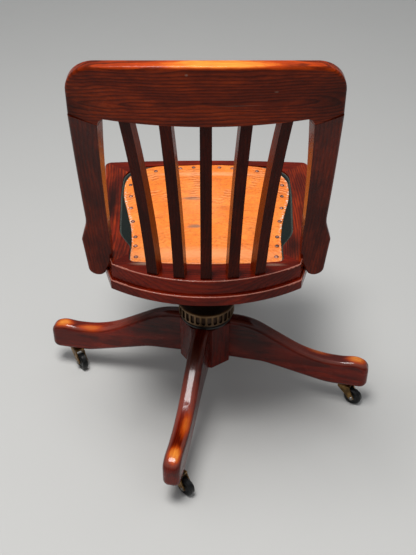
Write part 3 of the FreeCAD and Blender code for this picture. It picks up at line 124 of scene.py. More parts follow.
class ChairSeat(bpy.types.PropertyGroup):
    leather: colour("Leather", "Leather where it is least worn", "#eb781f")
    # In the pale bands at the leather's front and rear this colour is a painted reflection; elsewhere it is
    # rubbed leather.
    faded_and_sheen: colour("Faded leather", "Leather where it is rubbed", "#f09a62")
    sunny: colour("Light leather", "Paler clouds in the leather", "#f0882e")
    crack: colour("Leather creases", "Lines and dirt in the leather", "#8e3c12")
    stained: colour("Leather stains", "Dark spots in the leather", "#6e5a4c")
    fleck: colour("Leather flecks", "Pale flesh side showing at the torn edge", "#f0d8c2")
    cloth: colour("Cloth", "Dark green cloth under the leather", "#060d0b")
    lint: colour("Lint", "Frayed edge of the cloth", "#6f776c")
    crown: length("Crown", "How much the leather's middle stands above the packed form", 0.0012)
    dimple: length("Dimple", "How deep a nail pulls the leather down", 0.0009)
    crease: length("Crease", "Height of the leather's creases", 0.0005)


class ChairStage(bpy.types.PropertyGroup):
    floor: colour("Floor", "Plain pale floor", "#b7b6b3")
    lens: FloatProperty(name="Lens", description="Focal length on a 36 mm sensor", default=54.03, min=1)
    camera_back: length("Camera distance", "Camera behind the swivel axis", 1.3203)
    camera_side: FloatProperty(name="Camera side", description="Camera beside the swivel axis",
                               subtype="DISTANCE", default=-0.0031)
    camera_height: length("Camera height", "Camera above the floor", 1.3177)
    camera_dip: FloatProperty(name="Camera dip", description="How far the camera looks down",
                              subtype="ANGLE", default=math.radians(38.02))
    sky: FloatProperty(name="Sky", description="Strength of the light from all round", default=0.7, min=0)
    overhead: FloatProperty(name="Overhead lamp", description="Power of the large lamp above, in watts",
                            default=90, min=0)
    reach: length("Floor reach", "Radius of the flat part of the floor", 5.0)


# Shader building

def feed(tree, node, inputs):
    """A node's sockets, linked to other sockets or set to values."""
    for name, value in inputs.items():
        socket = node.inputs[name]
        if isinstance(value, bpy.types.NodeSocket):
            tree.links.new(value, socket)
        else:
            socket.default_value = (*value, 1) if socket.type == "RGBA" and len(value) == 3 else value


def add(tree, kind, inputs=None, **settings):
    """A shader node with its settings, and its sockets set or linked."""
    made = tree.nodes.new(kind)
    for name, value in settings.items():
        setattr(made, name, value)
    feed(tree, made, inputs or {})
    return made


def sum_up(tree, operation, first, second=0.0, third=None):
    inputs = {0: first, 1: second}
    if third is not None:
        inputs[2] = third
    return add(tree, "ShaderNodeMath", inputs, operation=operation).outputs[0]


def times(tree, first, second):
    return sum_up(tree, "MULTIPLY", first, second)


def vector_sum(tree, operation, first, second=(0.0, 0.0, 0.0)):
    made = add(tree, "ShaderNodeVectorMath", {0: first, 1: second}, operation=operation)
    return made.outputs["Value" if operation == "LENGTH" else "Vector"]


def axes_of(tree, vector):
    return add(tree, "ShaderNodeSeparateXYZ", {0: vector}).outputs


def spread(tree, value, low, high, new_low=0.0, new_high=1.0):
    """The value's range stretched smoothly onto a new one."""
    return add(tree, "ShaderNodeMapRange",
               {"Value": value, "From Min": low, "From Max": high, "To Min": new_low, "To Max": new_high},
               interpolation_type="SMOOTHSTEP").outputs["Result"]


def blend_paint(tree, mask, first, second):
    """From the first colour to the second as the mask goes from 0 to 1."""
    return add(tree, "ShaderNodeMix", {0: mask, 6: first, 7: second}, data_type="RGBA").outputs[2]


def over(tree, face, colour_on_top, mask, strength=1.0):
    """A colour laid over the face where the mask says so, at a strength."""
    return blend_paint(tree, times(tree, mask, strength), face, colour_on_top)


def speckle(tree, where, scale, detail=3.0, roughness=0.5):
    return add(tree, "ShaderNodeTexNoise",
               {"Vector": where, "Scale": scale, "Detail": detail, "Roughness": roughness}).outputs["Fac"]


def shader_group(name, inputs, outputs):
    """A new group and the sockets of its two end nodes. A tuple makes a vector socket."""
    tree = bpy.data.node_groups.new(name, "ShaderNodeTree")
    for socket, default in inputs.items():
        kind = "NodeSocketVector" if isinstance(default, tuple) else "NodeSocketFloat"
        tree.interface.new_socket(name=socket, in_out="INPUT", socket_type=kind).default_value = default
    for socket in outputs:
        tree.interface.new_socket(name=socket, in_out="OUTPUT", socket_type="NodeSocketFloat")
    return tree, tree.nodes.new("NodeGroupInput").outputs, tree.nodes.new("NodeGroupOutput").inputs


def feed_out(tree, found, **results):
    for name, socket in results.items():
        tree.links.new(socket, found[name])


def grain_group():
    """Rings of the tree, pores and uneven stain. X runs along the grain and Y into the board."""
    tree, given, found = shader_group(
        "wood_grain",
        {"Vector": (0.0, 0.0, 0.0), "Heart": (0.0, 0.0, 0.0), "Sweep": 0.0, "Rings": 200.0, "Wander": 0.01},
        ("Rings", "Fibre", "Pores", "Stain", "Height"))
    moved = vector_sum(tree, "ADD", given["Vector"], given["Heart"])

    def drawn_out(along, across, detail, roughness=0.5):
        """Noise that is coarser along the grain than across it."""
        stretched = vector_sum(tree, "MULTIPLY", moved, (along, across, across))
        return speckle(tree, stretched, 1.0, detail, roughness)

    axes = axes_of(tree, moved)
    along_squared = times(tree, axes[0], axes[0])
    depth = sum_up(tree, "MULTIPLY_ADD", along_squared, given["Sweep"], axes[1])
    reach = sum_up(tree, "SQRT", sum_up(tree, "MULTIPLY_ADD", depth, depth, times(tree, axes[2], axes[2])))
    wander = sum_up(tree, "SUBTRACT", drawn_out(5.0, 22.0, 3.0), 0.5)
    reach = sum_up(tree, "MULTIPLY_ADD", wander, given["Wander"], reach)
    ring = sum_up(tree, "FRACT", times(tree, reach, given["Rings"]))
    late = times(tree, spread(tree, ring, 0.2, 0.86), spread(tree, ring, 1.0, 0.9))
    fibre = drawn_out(18.0, 330.0, 4.0, 0.62)
    pores = spread(tree, drawn_out(70.0, 1500.0, 2.0), 0.56, 0.7)
    pores = times(tree, pores, sum_up(tree, "MULTIPLY_ADD", late, 0.6, 0.4))
    height = sum_up(tree, "MULTIPLY_ADD", pores, -0.8, times(tree, fibre, 0.35))
    feed_out(tree, found, Rings=late, Fibre=spread(tree, fibre, 0.36, 0.66), Pores=pores,
             Stain=spread(tree, drawn_out(8.0, 20.0, 5.0, 0.6), 0.34, 0.7), Height=height)
    return tree


def patch_group():
    """A patch round a place, with a ragged edge that follows the grain. It marks wear, scuffs and stains, and
    also painted shade and painted reflections.
    """
    tree, given, found = shader_group(
        "ragged_patch",
        {"Vector": (0.0, 0.0, 0.0), "Centre": (0.0, 0.0, 0.0), "Reach": (0.05, 0.05, 0.05), "Ragged": 0.5},
        ("Mask",))
    offset = vector_sum(tree, "SUBTRACT", given["Vector"], given["Centre"])
    far = vector_sum(tree, "LENGTH", vector_sum(tree, "DIVIDE", offset, given["Reach"]))
    streaks = vector_sum(tree, "MULTIPLY", given["Vector"], (40.0, 190.0, 190.0))
    rough = sum_up(tree, "SUBTRACT", speckle(tree, streaks, 1.0, 4.0, 0.6), 0.5)
    far = sum_up(tree, "MULTIPLY_ADD", rough, given["Ragged"], far)
    feed_out(tree, found, Mask=spread(tree, far, 1.1, 0.1))
    return tree


def wear_group():
    """Tarnish, dirt in patches and fine unevenness for castings and sheet metal."""
    tree, given, found = shader_group(
        "metal_age", {"Vector": (0.0, 0.0, 0.0), "Scale": 1.0}, ("Tarnish", "Dirt", "Height"))
    where, scale = given["Vector"], given["Scale"]
    tarnish = speckle(tree, where, times(tree, scale, 60.0), 5.0, 0.6)
    dirt = speckle(tree, where, times(tree, scale, 18.0))
    pits = add(tree, "ShaderNodeTexVoronoi", {"Vector": where, "Scale": times(tree, scale, 420.0)}).outputs[0]
    feed_out(tree, found, Tarnish=spread(tree, tarnish, 0.35, 0.68), Dirt=spread(tree, dirt, 0.4, 0.65),
             Height=sum_up(tree, "MULTIPLY_ADD", pits, 0.5, tarnish))
    return tree


MAKERS = {"wood_grain": grain_group, "ragged_patch": patch_group, "metal_age": wear_group}
GROUPS = {}


def effect(tree, name, inputs):
    """A shared effect placed in a material, with the material's own values."""
    if name not in GROUPS:
        GROUPS[name] = MAKERS[name]()
    return add(tree, "ShaderNodeGroup", inputs, node_tree=GROUPS[name]).outputs


def new_material(name):
    """A material with its tree, its Principled shader and the place on the object."""
    made = bpy.data.materials.new(name)
    made.use_nodes = True
    tree = made.node_tree
    shader = tree.nodes["Principled BSDF"]
    where = tree.nodes.new("ShaderNodeTexCoord").outputs["Object"]
    return made, tree, shader, where


def bumped(tree, shader, height, distance, strength=1.0):
    made = add(tree, "ShaderNodeBump", {"Height": height, "Distance": distance, "Strength": strength})
    tree.links.new(made.outputs["Normal"], shader.inputs["Normal"])


def along_piece(name):
    """The turn that lays a leaning piece's length along X, its thickness along Y."""
    points = [vertex.co for vertex in NODES[name].data.vertices]
    low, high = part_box(name)
    tenth = (high.z - low.z) / 10
    foot = [point for point in points if point.z < low.z + tenth]
    head = [point for point in points if point.z > high.z - tenth]
    lengthways = (sum(head, Vector()) / len(head) - sum(foot, Vector()) / len(foot)).normalized()
    inwards = Vector((1.0, 0.0, 0.0)).cross(lengthways).normalized()
    return Matrix((lengthways, -inwards, lengthways.cross(-inwards))).to_euler()


def varnished(name, turn, heart, rings, sweep=0.0, wander=0.012, amber=0.3, cherry=0.5, tone=1.0,
              figure=0.5, marks=(), lit_sides=0.0, edges=0.0, coat=0.25):
    """Stained and varnished wood. marks are (middle, reach, how much, colour) in the board's own axes."""
    wood = bpy.context.scene.chair_wood
    made, tree, shader, where = new_material(name)
    board = add(tree, "ShaderNodeMapping", {"Vector": where, "Rotation": turn}).outputs["Vector"]
    grain = effect(tree, "wood_grain", {"Vector": board, "Heart": heart, "Sweep": sweep, "Rings": rings,
                                        "Wander": wander})
    stain = blend_paint(tree, cherry, wood.stain, wood.cherry)
    face = blend_paint(tree, spread(tree, grain["Stain"], 0.0, 1.0, 0.45 * tone, tone), wood.shadow, stain)
    open_grain = times(tree, spread(tree, grain["Fibre"], 0.0, 1.0, amber / 2, 1.0),
                        spread(tree, grain["Stain"], 0.1, 0.9, 0.3, 1.0))
    face = over(tree, face, wood.amber, open_grain, amber)
    facing = axes_of(tree, tree.nodes.new("ShaderNodeTexCoord").outputs["Normal"])
    # Painted light: faces turned towards the sides are lightened towards amber, standing in for the light
    # they catch.
    if lit_sides:
        side = spread(tree, sum_up(tree, "ABSOLUTE", facing[0]), 0.7, 0.95, 0.0, lit_sides)
        face = blend_paint(tree, side, face, wood.amber)
    face = over(tree, face, wood.shadow, grain["Rings"], figure)
    # Painted highlight: rounded edges that face upwards are lightened with the edge colour.
    if edges:
        edge_highlight = times(tree, spread(tree, facing[2], 0.4, 0.7), spread(tree, facing[2], 0.98, 0.88))
        face = over(tree, face, wood.edge, edge_highlight, edges)
    worn_and_sheen = None
    for middle, reach, strength, tint in marks:
        mask = effect(tree, "ragged_patch", {"Vector": board, "Centre": middle, "Reach": reach})["Mask"]
        mask = times(tree, mask, strength)
        if tint == "worn_and_sheen":
            worn_and_sheen = mask if worn_and_sheen is None else sum_up(tree, "MAXIMUM", worn_and_sheen, mask)
        else:
            face = blend_paint(tree, mask, face, getattr(wood, tint))
    pores = times(tree, grain["Pores"], 0.6)
    dull = sum_up(tree, "MULTIPLY_ADD", grain["Stain"], 0.1, wood.gloss)
    if worn_and_sheen is not None:
        bare = blend_paint(tree, times(tree, grain["Fibre"], 0.45), wood.worn_and_sheen, wood.amber)
        face = blend_paint(tree, spread(tree, worn_and_sheen, 0.0, 0.5), face, wood.amber)
        face = blend_paint(tree, spread(tree, worn_and_sheen, 0.3, 0.95), face, bare)
        pores = times(tree, pores, sum_up(tree, "MULTIPLY_ADD", worn_and_sheen, -0.7, 1.0))
        dull = sum_up(tree, "MULTIPLY_ADD", worn_and_sheen, 0.12, dull)
    face = blend_paint(tree, pores, face, wood.shadow)
    feed(tree, shader, {"Base Color": face, "Roughness": dull, "Specular IOR Level": 0.06,
                        "Coat Weight": coat, "Coat Roughness": 0.09})
    bumped(tree, shader, grain["Height"], wood.grain_height, 0.6)
    return made


def raw_wood(name, turn):
    wood = bpy.context.scene.chair_wood
    made, tree, shader, where = new_material(name)
    board = add(tree, "ShaderNodeMapping", {"Vector": where, "Rotation": turn}).outputs["Vector"]
    grain = effect(tree, "wood_grain", {"Vector": board, "Heart": (0.0, 0.3, 0.05), "Rings": 260.0})
    face = blend_paint(tree, times(tree, grain["Rings"], 0.6), wood.raw, wood.stain)
    face = over(tree, face, wood.shadow, grain["Stain"], 0.4)
    feed(tree, shader, {"Base Color": face, "Roughness": 0.75})
    bumped(tree, shader, grain["Height"], 0.0006)
    return made


def metal(name, base, tarnished, metallic, rough, scale=1.0, height=0.0002):
    """Cast, plated or painted metal with tarnish and dirt."""
    made, tree, shader, where = new_material(name)
    age = effect(tree, "metal_age", {"Vector": where, "Scale": scale})
    face = blend_paint(tree, age["Tarnish"], base, tarnished)
    face = over(tree, face, paint("#1a1411"), age["Dirt"], 0.5)
    feed(tree, shader, {"Base Color": face, "Metallic": metallic,
                        "Roughness": sum_up(tree, "MULTIPLY_ADD", age["Tarnish"], 0.2, rough)})
    bumped(tree, shader, age["Height"], height)
    return made


def dress(names, made):
    """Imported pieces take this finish."""
    for name in names:
        mesh = NODES[name].data
        mesh.materials.clear()
        mesh.materials.append(made)


# Mesh building

def solid(name, vertices, faces, made):
    """A smoothly shaded mesh object with its faces all turned outwards."""
    mesh = bpy.data.meshes.new(name)
    mesh.from_pydata(vertices, [], faces)
    mesh.validate()
    thing = bpy.data.objects.new(name, mesh)
    bpy.context.scene.collection.objects.link(thing)
    tidy = bmesh.new()
    tidy.from_mesh(mesh)
    bmesh.ops.recalc_face_normals(tidy, faces=tidy.faces)
    tidy.to_mesh(mesh)
    tidy.free()
    mesh.materials.append(made)
    mesh.shade_smooth()
    return thing


def mark(thing, name, values):
    """A value kept at each point, for materials to read."""
    thing.data.attributes.new(name, "FLOAT", "POINT").data.foreach_set("value", values)


def grid_faces(rows, columns, closed):
    """Quads between rows of points. closed joins the last column to the first."""
    faces = []
    for i in range(rows - 1):
        for j in range(columns if closed else columns - 1):
            k = (j + 1) % columns
            faces.append((i * columns + j, i * columns + k, (i + 1) * columns + k, (i + 1) * columns + j))
    return faces


def tube_faces(rows, sides, start=0):
    """The faces of a tube of rings, closed at both ends, its points numbered from start."""
    ends = [tuple(range(sides)), tuple(range((rows - 1) * sides, rows * sides))]
    return [tuple(start + i for i in face) for face in grid_faces(rows, sides, True) + ends]


def turns_round(sides):
    """Evenly spaced angles round one turn."""
    return [2 * math.pi * k / sides for k in range(sides)]


def pieces_of(name):
    """Middle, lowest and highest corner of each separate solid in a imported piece."""
    mesh = NODES[name].data
    owner, points = {}, {}
    cells_a_metre = 20000

    def root(key):
        while owner[key] != key:
            owner[key] = owner[owner[key]]
            key = owner[key]
        return key

    keys = []
    for vertex in mesh.vertices:
        key = tuple(round(c * cells_a_metre) for c in vertex.co)
        keys.append(key)
        points[key] = vertex.co.copy()
        owner.setdefault(key, key)
    for edge in mesh.edges:
        owner[root(keys[edge.vertices[0]])] = root(keys[edge.vertices[1]])
    together = {}
    for key, point in points.items():
        together.setdefault(root(key), []).append(point)
    found = []
    for members in together.values():
        low = Vector([min(p[i] for p in members) for i in range(3)])
        high = Vector([max(p[i] for p in members) for i in range(3)])
        found.append(((low + high) / 2, low, high))
    return sorted(found, key=lambda item: tuple(round(c, 4) for c in item[0]))


def unevenness(x, y, scale, level):
    """Smooth noise over a place, from -1 to 1. Each level is another noise."""
    return noise.noise(Vector((x * scale, y * scale, level)))


def rim_of(name, count):
    """The outline of a flat piece at its underside, as evenly spaced points."""
    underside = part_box(name)[0].z + 1e-5
    places = [vertex.co for vertex in NODES[name].data.vertices]
    corners = {(round(place.x, 6), round(place.y, 6)) for place in places if place.z < underside}
    middle = Vector((sum(c[0] for c in corners), sum(c[1] for c in corners))) / len(corners)
    corners = sorted(corners, key=lambda c: math.atan2(c[1] - middle.y, c[0] - middle.x))
    corners = [Vector(c) for c in corners]
    runs = [(corners[i] - corners[i - 1]).length for i in range(len(corners))]
    step, points, travelled, target = sum(runs) / count, [], 0.0, 0.0
    for i, run in enumerate(runs):
        while target <= travelled + run and len(points) < count:
            points.append(corners[i - 1].lerp(corners[i], (target - travelled) / run if run else 0))
            target += step
        travelled += run
    return points


def swept_wire(path, radius, sides, made, name):
    """A round wire along a path of points, closed at its ends."""
    vertices, last = [], None
    for i, point in enumerate(path):
        ahead = (path[min(i + 1, len(path) - 1)] - path[max(i - 1, 0)]).normalized()
        side = ahead.cross(Vector((0, 0, 1))).normalized()
        if last is not None and side.dot(last) < 0:
            side = -side
        last, outwards = side, side.cross(ahead).normalized()
        for turn in turns_round(sides):
            vertices.append(point + radius * (math.cos(turn) * side + math.sin(turn) * outwards))
    return solid(name, vertices, tube_faces(len(path), sides), made)


def turned_screw(name, profile, threaded, pitch, depth, sides, made, key_flat=None):
    """A turned piece with a thread along one stretch of its profile, and a keyway towards +X if asked."""
    steps_a_turn, half_keyway, sharp = 8, 0.0034, math.radians(35)
    stations = []
    for i, (radius, height) in enumerate(profile):
        stations.append((radius, height, 0.0))
        if i == threaded:
            rise = profile[i + 1][1] - height
            count = int(rise / pitch * steps_a_turn)
            for j in range(1, count):
                fade = min(1.0, j / steps_a_turn, (count - j) / steps_a_turn)
                stations.append((radius, height + rise * j / count, fade))
    vertices = []
    for radius, height, cut in stations:
        for k, turn in enumerate(turns_round(sides)):
            phase = (height / pitch - k / sides) % 1
            groove = min(1.0, max(0.0, 1.5 - 4 * abs(phase - 0.5)))
            reach = radius - cut * depth * groove
            across = reach * math.cos(turn)
            grooved = cut or height <= profile[threaded][1]
            if key_flat and grooved and across > key_flat and abs(reach * math.sin(turn)) < half_keyway:
                reach = key_flat / math.cos(turn)
            vertices.append((reach * math.cos(turn), reach * math.sin(turn), height))
    screw = solid(name, vertices, tube_faces(len(stations), sides), made)
    screw.data.set_sharp_from_angle(angle=sharp)
    return screw


# Pieces

class CHAIR_OT_dress_base(bpy.types.Operator):
    """Varnish the four legs and the post, each with the grain along its length"""
    bl_idname = "chair.dress_base"
    bl_label = "Legs and post"

    def execute(self, context):
        for number in range(LEG_COUNT):
            turn = (0.0, 0.0, -math.radians(LEG_YAW + 90 * number))
            # The last mark is painted shade: each leg darkened towards the hub, under the seat.
            marks = [((0.322, 0.003, 0.122), (0.04, 0.02, 0.02), 0.95, "worn_and_sheen"),
                     ((0.255 - 0.012 * number, 0.008, 0.116), (0.045, 0.013, 0.024), 0.55, "worn_and_sheen"),
                     ((0.1, 0.0, 0.16), (0.1, 0.06, 0.07), 0.7, "shadow")]
            leg_wood = varnished("leg_wood_%d" % (number + 1), turn, (0.0, 0.16, -0.1 - 0.01 * number), 260.0,
                                 amber=0.2, cherry=0.8, figure=0.35, marks=marks, edges=0.12, coat=0.42)
            dress(["leg_%d" % (number + 1)], leg_wood)
        dress(["hub_post"], varnished("post_wood", UPRIGHT, (0.0, 0.2, 0.03), 240.0, amber=0.1, cherry=0.7,
                                         tone=0.8, figure=0.3))
        dress(["leg_dowels"], raw_wood("dowel_wood", SIDE_TO_SIDE))
        return {"FINISHED"}


class CHAIR_OT_dress_back(bpy.types.Operator):
    """Varnish the crest rail, the stiles and the slats"""
    bl_idname = "chair.dress_back"
    bl_label = "Back"

    def execute(self, context):
        # The first mark is worn varnish along the crest's top edge and also its painted highlight; the shadow
        # marks darken the crest towards its ends.
        marks = [((-0.04, 0.27, 0.858), (0.19, 0.03, 0.008), 1.0, "worn_and_sheen"),
                 ((0.21, 0.22, 0.78), (0.09, 0.07, 0.07), 0.6, "shadow"),
                 ((-0.22, 0.22, 0.8), (0.12, 0.07, 0.08), 0.6, "shadow"),
                 ((0.026, 0.275, 0.843), (0.003, 0.01, 0.0025), 0.8, "scuff"),
                 ((-0.098, 0.26, 0.812), (0.004, 0.01, 0.0015), 0.7, "scuff"),
                 ((-0.055, 0.26, 0.79), (0.05, 0.01, 0.0008), 0.5, "scuff")]
        crest = varnished("crest_wood", SIDE_TO_SIDE, (0.0, -0.262, -0.79), 170.0, sweep=1.1, wander=0.03,
                          amber=1.0, cherry=0.05, tone=1.3, figure=0.55, marks=marks, coat=0.1)
        dress(["crest_rail"], crest)
        for side in ("left", "right"):
            turn = along_piece(side + "_stile")
            chip = Vector((0.172 if side == "left" else -0.172, 0.103, 0.45))
            chip.rotate(turn)
            marks = [(chip, (0.03, 0.02, 0.004), 0.5 if side == "left" else 1.0, "worn_and_sheen")]
            stile_wood = varnished(side + "_stile_wood", turn, (0.0, 0.1, 0.02), 220.0, amber=0.3, cherry=0.2,
                                   tone=0.72, figure=0.35, lit_sides=0.25, marks=marks, coat=0.15)
            dress([side + "_stile"], stile_wood)
        for number in range(SLAT_COUNT):
            slat = "slat_%d" % (number + 1)
            slat_wood = varnished(slat + "_wood", along_piece(slat), (0.13 * number, 0.12, 0.2), 280.0,
                                  amber=0.08, cherry=0.3, tone=0.34, figure=0.3, lit_sides=0.6, coat=0.03)
            dress([slat], slat_wood)
        return {"FINISHED"}


class CHAIR_OT_dress_seat_frame(bpy.types.Operator):
    """Varnish the seat frame, and leave the battens and the board bare"""
    bl_idname = "chair.dress_seat_frame"
    bl_label = "Seat frame"

    def execute(self, context):
        # Scuffs on the rear rail, and painted shade along its top where the slats stand.
        rail_scuffs_and_shade = [((0.11, 0.142, 0.428), (0.03, 0.006, 0.01), 0.7, "scuff"),
                     ((-0.12, 0.145, 0.428), (0.025, 0.005, 0.01), 0.5, "scuff"),
                     ((0.0, 0.165, 0.428), (0.13, 0.012, 0.01), 0.5, "shadow")]
        dirt = [((-0.06, -0.185, 0.428), (0.12, 0.016, 0.02), 0.9, "shadow"),
                ((0.03, 0.2, 0.428), (0.15, 0.03, 0.02), 1.0, "shadow"),
                ((0.09, 0.16, 0.428), (0.05, 0.02, 0.02), 0.8, "shadow")]
        across = varnished("rail_wood_across", SIDE_TO_SIDE, (0.0, 0.04, -0.3), 240.0, sweep=0.4, amber=0.2,
                           cherry=0.75, tone=1.0, figure=0.35, marks=rail_scuffs_and_shade, edges=0.65, coat=0.15)
        along = varnished("rail_wood_along", FRONT_TO_BACK, (0.0, 0.05, -0.28), 240.0, sweep=0.3, amber=0.55,
                          cherry=0.7, tone=0.75, figure=0.5, marks=dirt, edges=0.35, coat=0.25)
        dress(["front_rail", "rear_rail", "front_apron", "rear_apron"], across)
        dress(["left_rail", "right_rail", "left_apron", "right_apron"], along)
        dress(["left_batten", "right_batten", "seat_board"], raw_wood("batten_wood", FRONT_TO_BACK))
        return {"FINISHED"}


class CHAIR_OT_dress_ironwork(bpy.types.Operator):
    """Paint and bronze the castings, and brighten the screw and pins"""
    bl_idname = "chair.dress_ironwork"
    bl_label = "Ironwork"

    def execute(self, context):
        finish = context.scene.chair_metal
        black = metal("japanned_iron", finish.iron, paint("#2b2421"), 0.0, 0.38)
        dress(["hub_collar", "screw_nut", "swivel_yoke", "tension_trunnion", "spring_seat", "seat_spider",
               "tension_knob"], black)
        dress(["tilt_pin", "screw_key", "spider_screws"],
              metal("worn_steel", finish.steel, paint("#5c5651"), 1.0, 0.35))
        rubber, tree, shader, where = new_material("buffer_rubber")
        face = blend_paint(tree, speckle(tree, where, 90.0), paint("#1c1b1a"), paint("#2c2a28"))
        feed(tree, shader, {"Base Color": face, "Roughness": 0.8})
        dress(["tilt_buffer"], rubber)

        bronze, tree, shader, where = new_material("bronzed_ring")
        age = effect(tree, "metal_age", {"Vector": where, "Scale": 1.4})
        radius = vector_sum(tree, "LENGTH", vector_sum(tree, "MULTIPLY", where, (1.0, 1.0, 0.0)))
        hollow_radius, rib_radius = 0.0551, 0.0573
        proud = spread(tree, radius, hollow_radius, rib_radius)
        face = blend_paint(tree, times(tree, proud, 0.75), finish.bronze, finish.rubbed)
        face = over(tree, face, finish.bronze, age["Dirt"], 0.6)
        feed(tree, shader, {"Base Color": face, "Metallic": 0.75,
                            "Roughness": sum_up(tree, "MULTIPLY_ADD", age["Tarnish"], 0.2, 0.36)})
        bumped(tree, shader, age["Height"], 0.0003)
        dress(["adjusting_ring"], bronze)
        return {"FINISHED"}


class CHAIR_OT_cut_threads(bpy.types.Operator):
    """Cut the screw thread on the height screw and on the lower end of the tension rod"""
    bl_idname = "chair.cut_threads"
    bl_label = "Threads"

    def execute(self, context):
        steel = metal("screw_steel", context.scene.chair_metal.steel, paint("#6b655e"), 1.0, 0.3)
        low, high = (corner.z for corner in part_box("height_screw"))
        clearance = 0.0003
        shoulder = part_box("swivel_yoke")[0].z - clearance
        # Radius and height: chamfered end, thread, thrust shoulder, journal
        profile = ((0.011, low), (0.013, low + 0.002), (0.013, shoulder - 0.006), (0.019, shoulder - 0.006),
                   (0.019, shoulder), (0.011, shoulder), (0.011, high - 0.0015), (0.0095, high))
        height_screw = turned_screw("threaded_screw", profile, 1, 0.008, 0.0014, 72, steel, key_flat=0.0096)
        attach(height_screw, "screw")
        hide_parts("height_screw")

        low, high = (corner.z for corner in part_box("tension_rod"))
        spare_thread, head_height = 0.02, 0.0057
        thread_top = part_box("spring_seat")[1].z + spare_thread
        head = high - head_height
        # Radius and height: end, thread, plain shank, head
        profile = ((0.005, low), (0.005, low + 0.001), (0.005, thread_top), (0.005, head), (0.008, head),
                   (0.008, high - 0.002), (0.006, high))
        rod = turned_screw("threaded_rod", profile, 1, 0.0015, 0.0006, 32, steel)
        middle = sum(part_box("tension_rod"), Vector()) / 2
        for vertex in rod.data.vertices:
            vertex.co.x += middle.x
            vertex.co.y += middle.y
        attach(rod, "rod")
        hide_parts("tension_rod")
        return {"FINISHED"}


class CHAIR_OT_wind_spring(bpy.types.Operator):
    """Wind the tension spring between its plate and the yoke's arm"""
    bl_idname = "chair.wind_spring"
    bl_label = "Spring"

    def execute(self, context):
        low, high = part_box("tension_spring")
        middle = (low + high) / 2
        wire = 0.002
        reach = (high.x - low.x) / 2 - wire
        turns, end_turn, steps_a_turn = 5.5, 0.75, 30
        seat_gap = wire * 1.02
        path = []
        for i in range(int(turns * steps_a_turn) + 1):
            wound = i / steps_a_turn
            rise = min(max((wound - end_turn) / (turns - 2 * end_turn), 0), 1)
            height = low.z + seat_gap + rise * (high.z - low.z - 2 * seat_gap)
            turn = 2 * math.pi * wound
            place = (middle.x + reach * math.cos(turn), middle.y + reach * math.sin(turn), height)
            path.append(Vector(place))
        steel = metal("spring_steel", paint("#3a3633"), paint("#5d554d"), 0.9, 0.42)
        spring = swept_wire(path, wire, 12, steel, "coil_spring")
        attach(spring, "yoke")
        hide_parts("tension_spring")
        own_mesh(spring)
        return {"FINISHED"}


def nail_spots():
    """Where the upholstery nails are: the middle of each head, at its underside."""
    head_height = 0.002
    nails = pieces_of("upholstery_nails")
    return [Vector((middle.x, middle.y, high.z - head_height)) for middle, _, high in nails]


class CHAIR_OT_lay_cloth(bpy.types.Operator):
    """Lay the dark cloth between the board and the leather"""
    bl_idname = "chair.lay_cloth"
    bl_label = "Cloth"

    def execute(self, context):
        seat = context.scene.chair_seat
        low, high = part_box("seat_cloth")
        count, rows = 200, 34
        fuzz, sunk, above_board = 0.00025, 0.0004, 0.00005
        rim = rim_of("seat_cloth", count)
        middle = sum(rim, Vector((0, 0))) / count
        vertices, from_edge = [], []
        for layer in (0, 1):
            for row in range(rows):
                out = 1 - row / rows
                for point in rim:
                    place = middle.lerp(point, out)
                    height = low.z + above_board
                    if layer:
                        nap = fuzz * unevenness(place.x, place.y, 160, 3.0)
                        height = high.z - sunk + nap - sunk * max(0, 1 - row / 2)
                    vertices.append((place.x, place.y, height))
                    from_edge.append((place - point).length)
        faces = grid_faces(rows, count, True)
        start = rows * count
        faces += [tuple(start + i for i in face) for face in grid_faces(rows, count, True)]
        faces += [(j, (j + 1) % count, start + (j + 1) % count, start + j) for j in range(count)]
        faces += [tuple(range((rows - 1) * count, rows * count)),
                  tuple(range(start + (rows - 1) * count, start + rows * count))]

        felt, tree, shader, where = new_material("green_felt")
        fibres = speckle(tree, where, 1500.0, 3.0, 0.7)
        clumps = speckle(tree, where, 130.0, 4.0, 0.6)
        face = blend_paint(tree, spread(tree, fibres, 0.35, 0.75), seat.cloth, paint("#121b17"))
        face = over(tree, face, paint("#0b1110"), spread(tree, clumps, 0.5, 0.75), 0.5)
        edge = add(tree, "ShaderNodeAttribute", attribute_name="from_edge").outputs["Fac"]
        frayed = times(tree, spread(tree, edge, 0.0045, 0.0), spread(tree, fibres, 0.42, 0.6))
        face = over(tree, face, seat.lint, frayed, 0.8)
        feed(tree, shader, {"Base Color": face, "Roughness": 0.95, "Specular IOR Level": 0.1,
                            "Sheen Weight": 0.06, "Sheen Roughness": 0.6})
        bumped(tree, shader, sum_up(tree, "ADD", fibres, clumps), 0.0005)
        cloth = solid("felt_lining", vertices, faces, felt)
        mark(cloth, "from_edge", from_edge)
        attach(cloth, "seat")
        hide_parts("seat_cloth")
        return {"FINISHED"}


# Worn places, stains and creases of the leather, and its painted reflections in the pale bands at the front
# and rear: their middle and reach along X and Y, how much, and colour
LEATHER_WEAR_AND_SHEEN = (
    (0.0, -0.162, 0.16, 0.012, 0.9, "faded_and_sheen"),
    (0.0, 0.115, 0.2, 0.026, 0.75, "faded_and_sheen"),
    (0.01, -0.06, 0.07, 0.1, 0.25, "faded_and_sheen"),
    (0.028, -0.066, 0.026, 0.009, 0.85, "stained"),
    (0.022, 0.03, 0.02, 0.008, 0.8, "stained"),
    (0.056, 0.028, 0.005, 0.004, 0.9, "stained"),
    (-0.04, -0.03, 0.03, 0.012, 0.35, "crack"),
    (0.1, 0.06, 0.03, 0.03, 0.3, "crack"),
    (-0.1, 0.05, 0.03, 0.04, 0.3, "crack"),
)


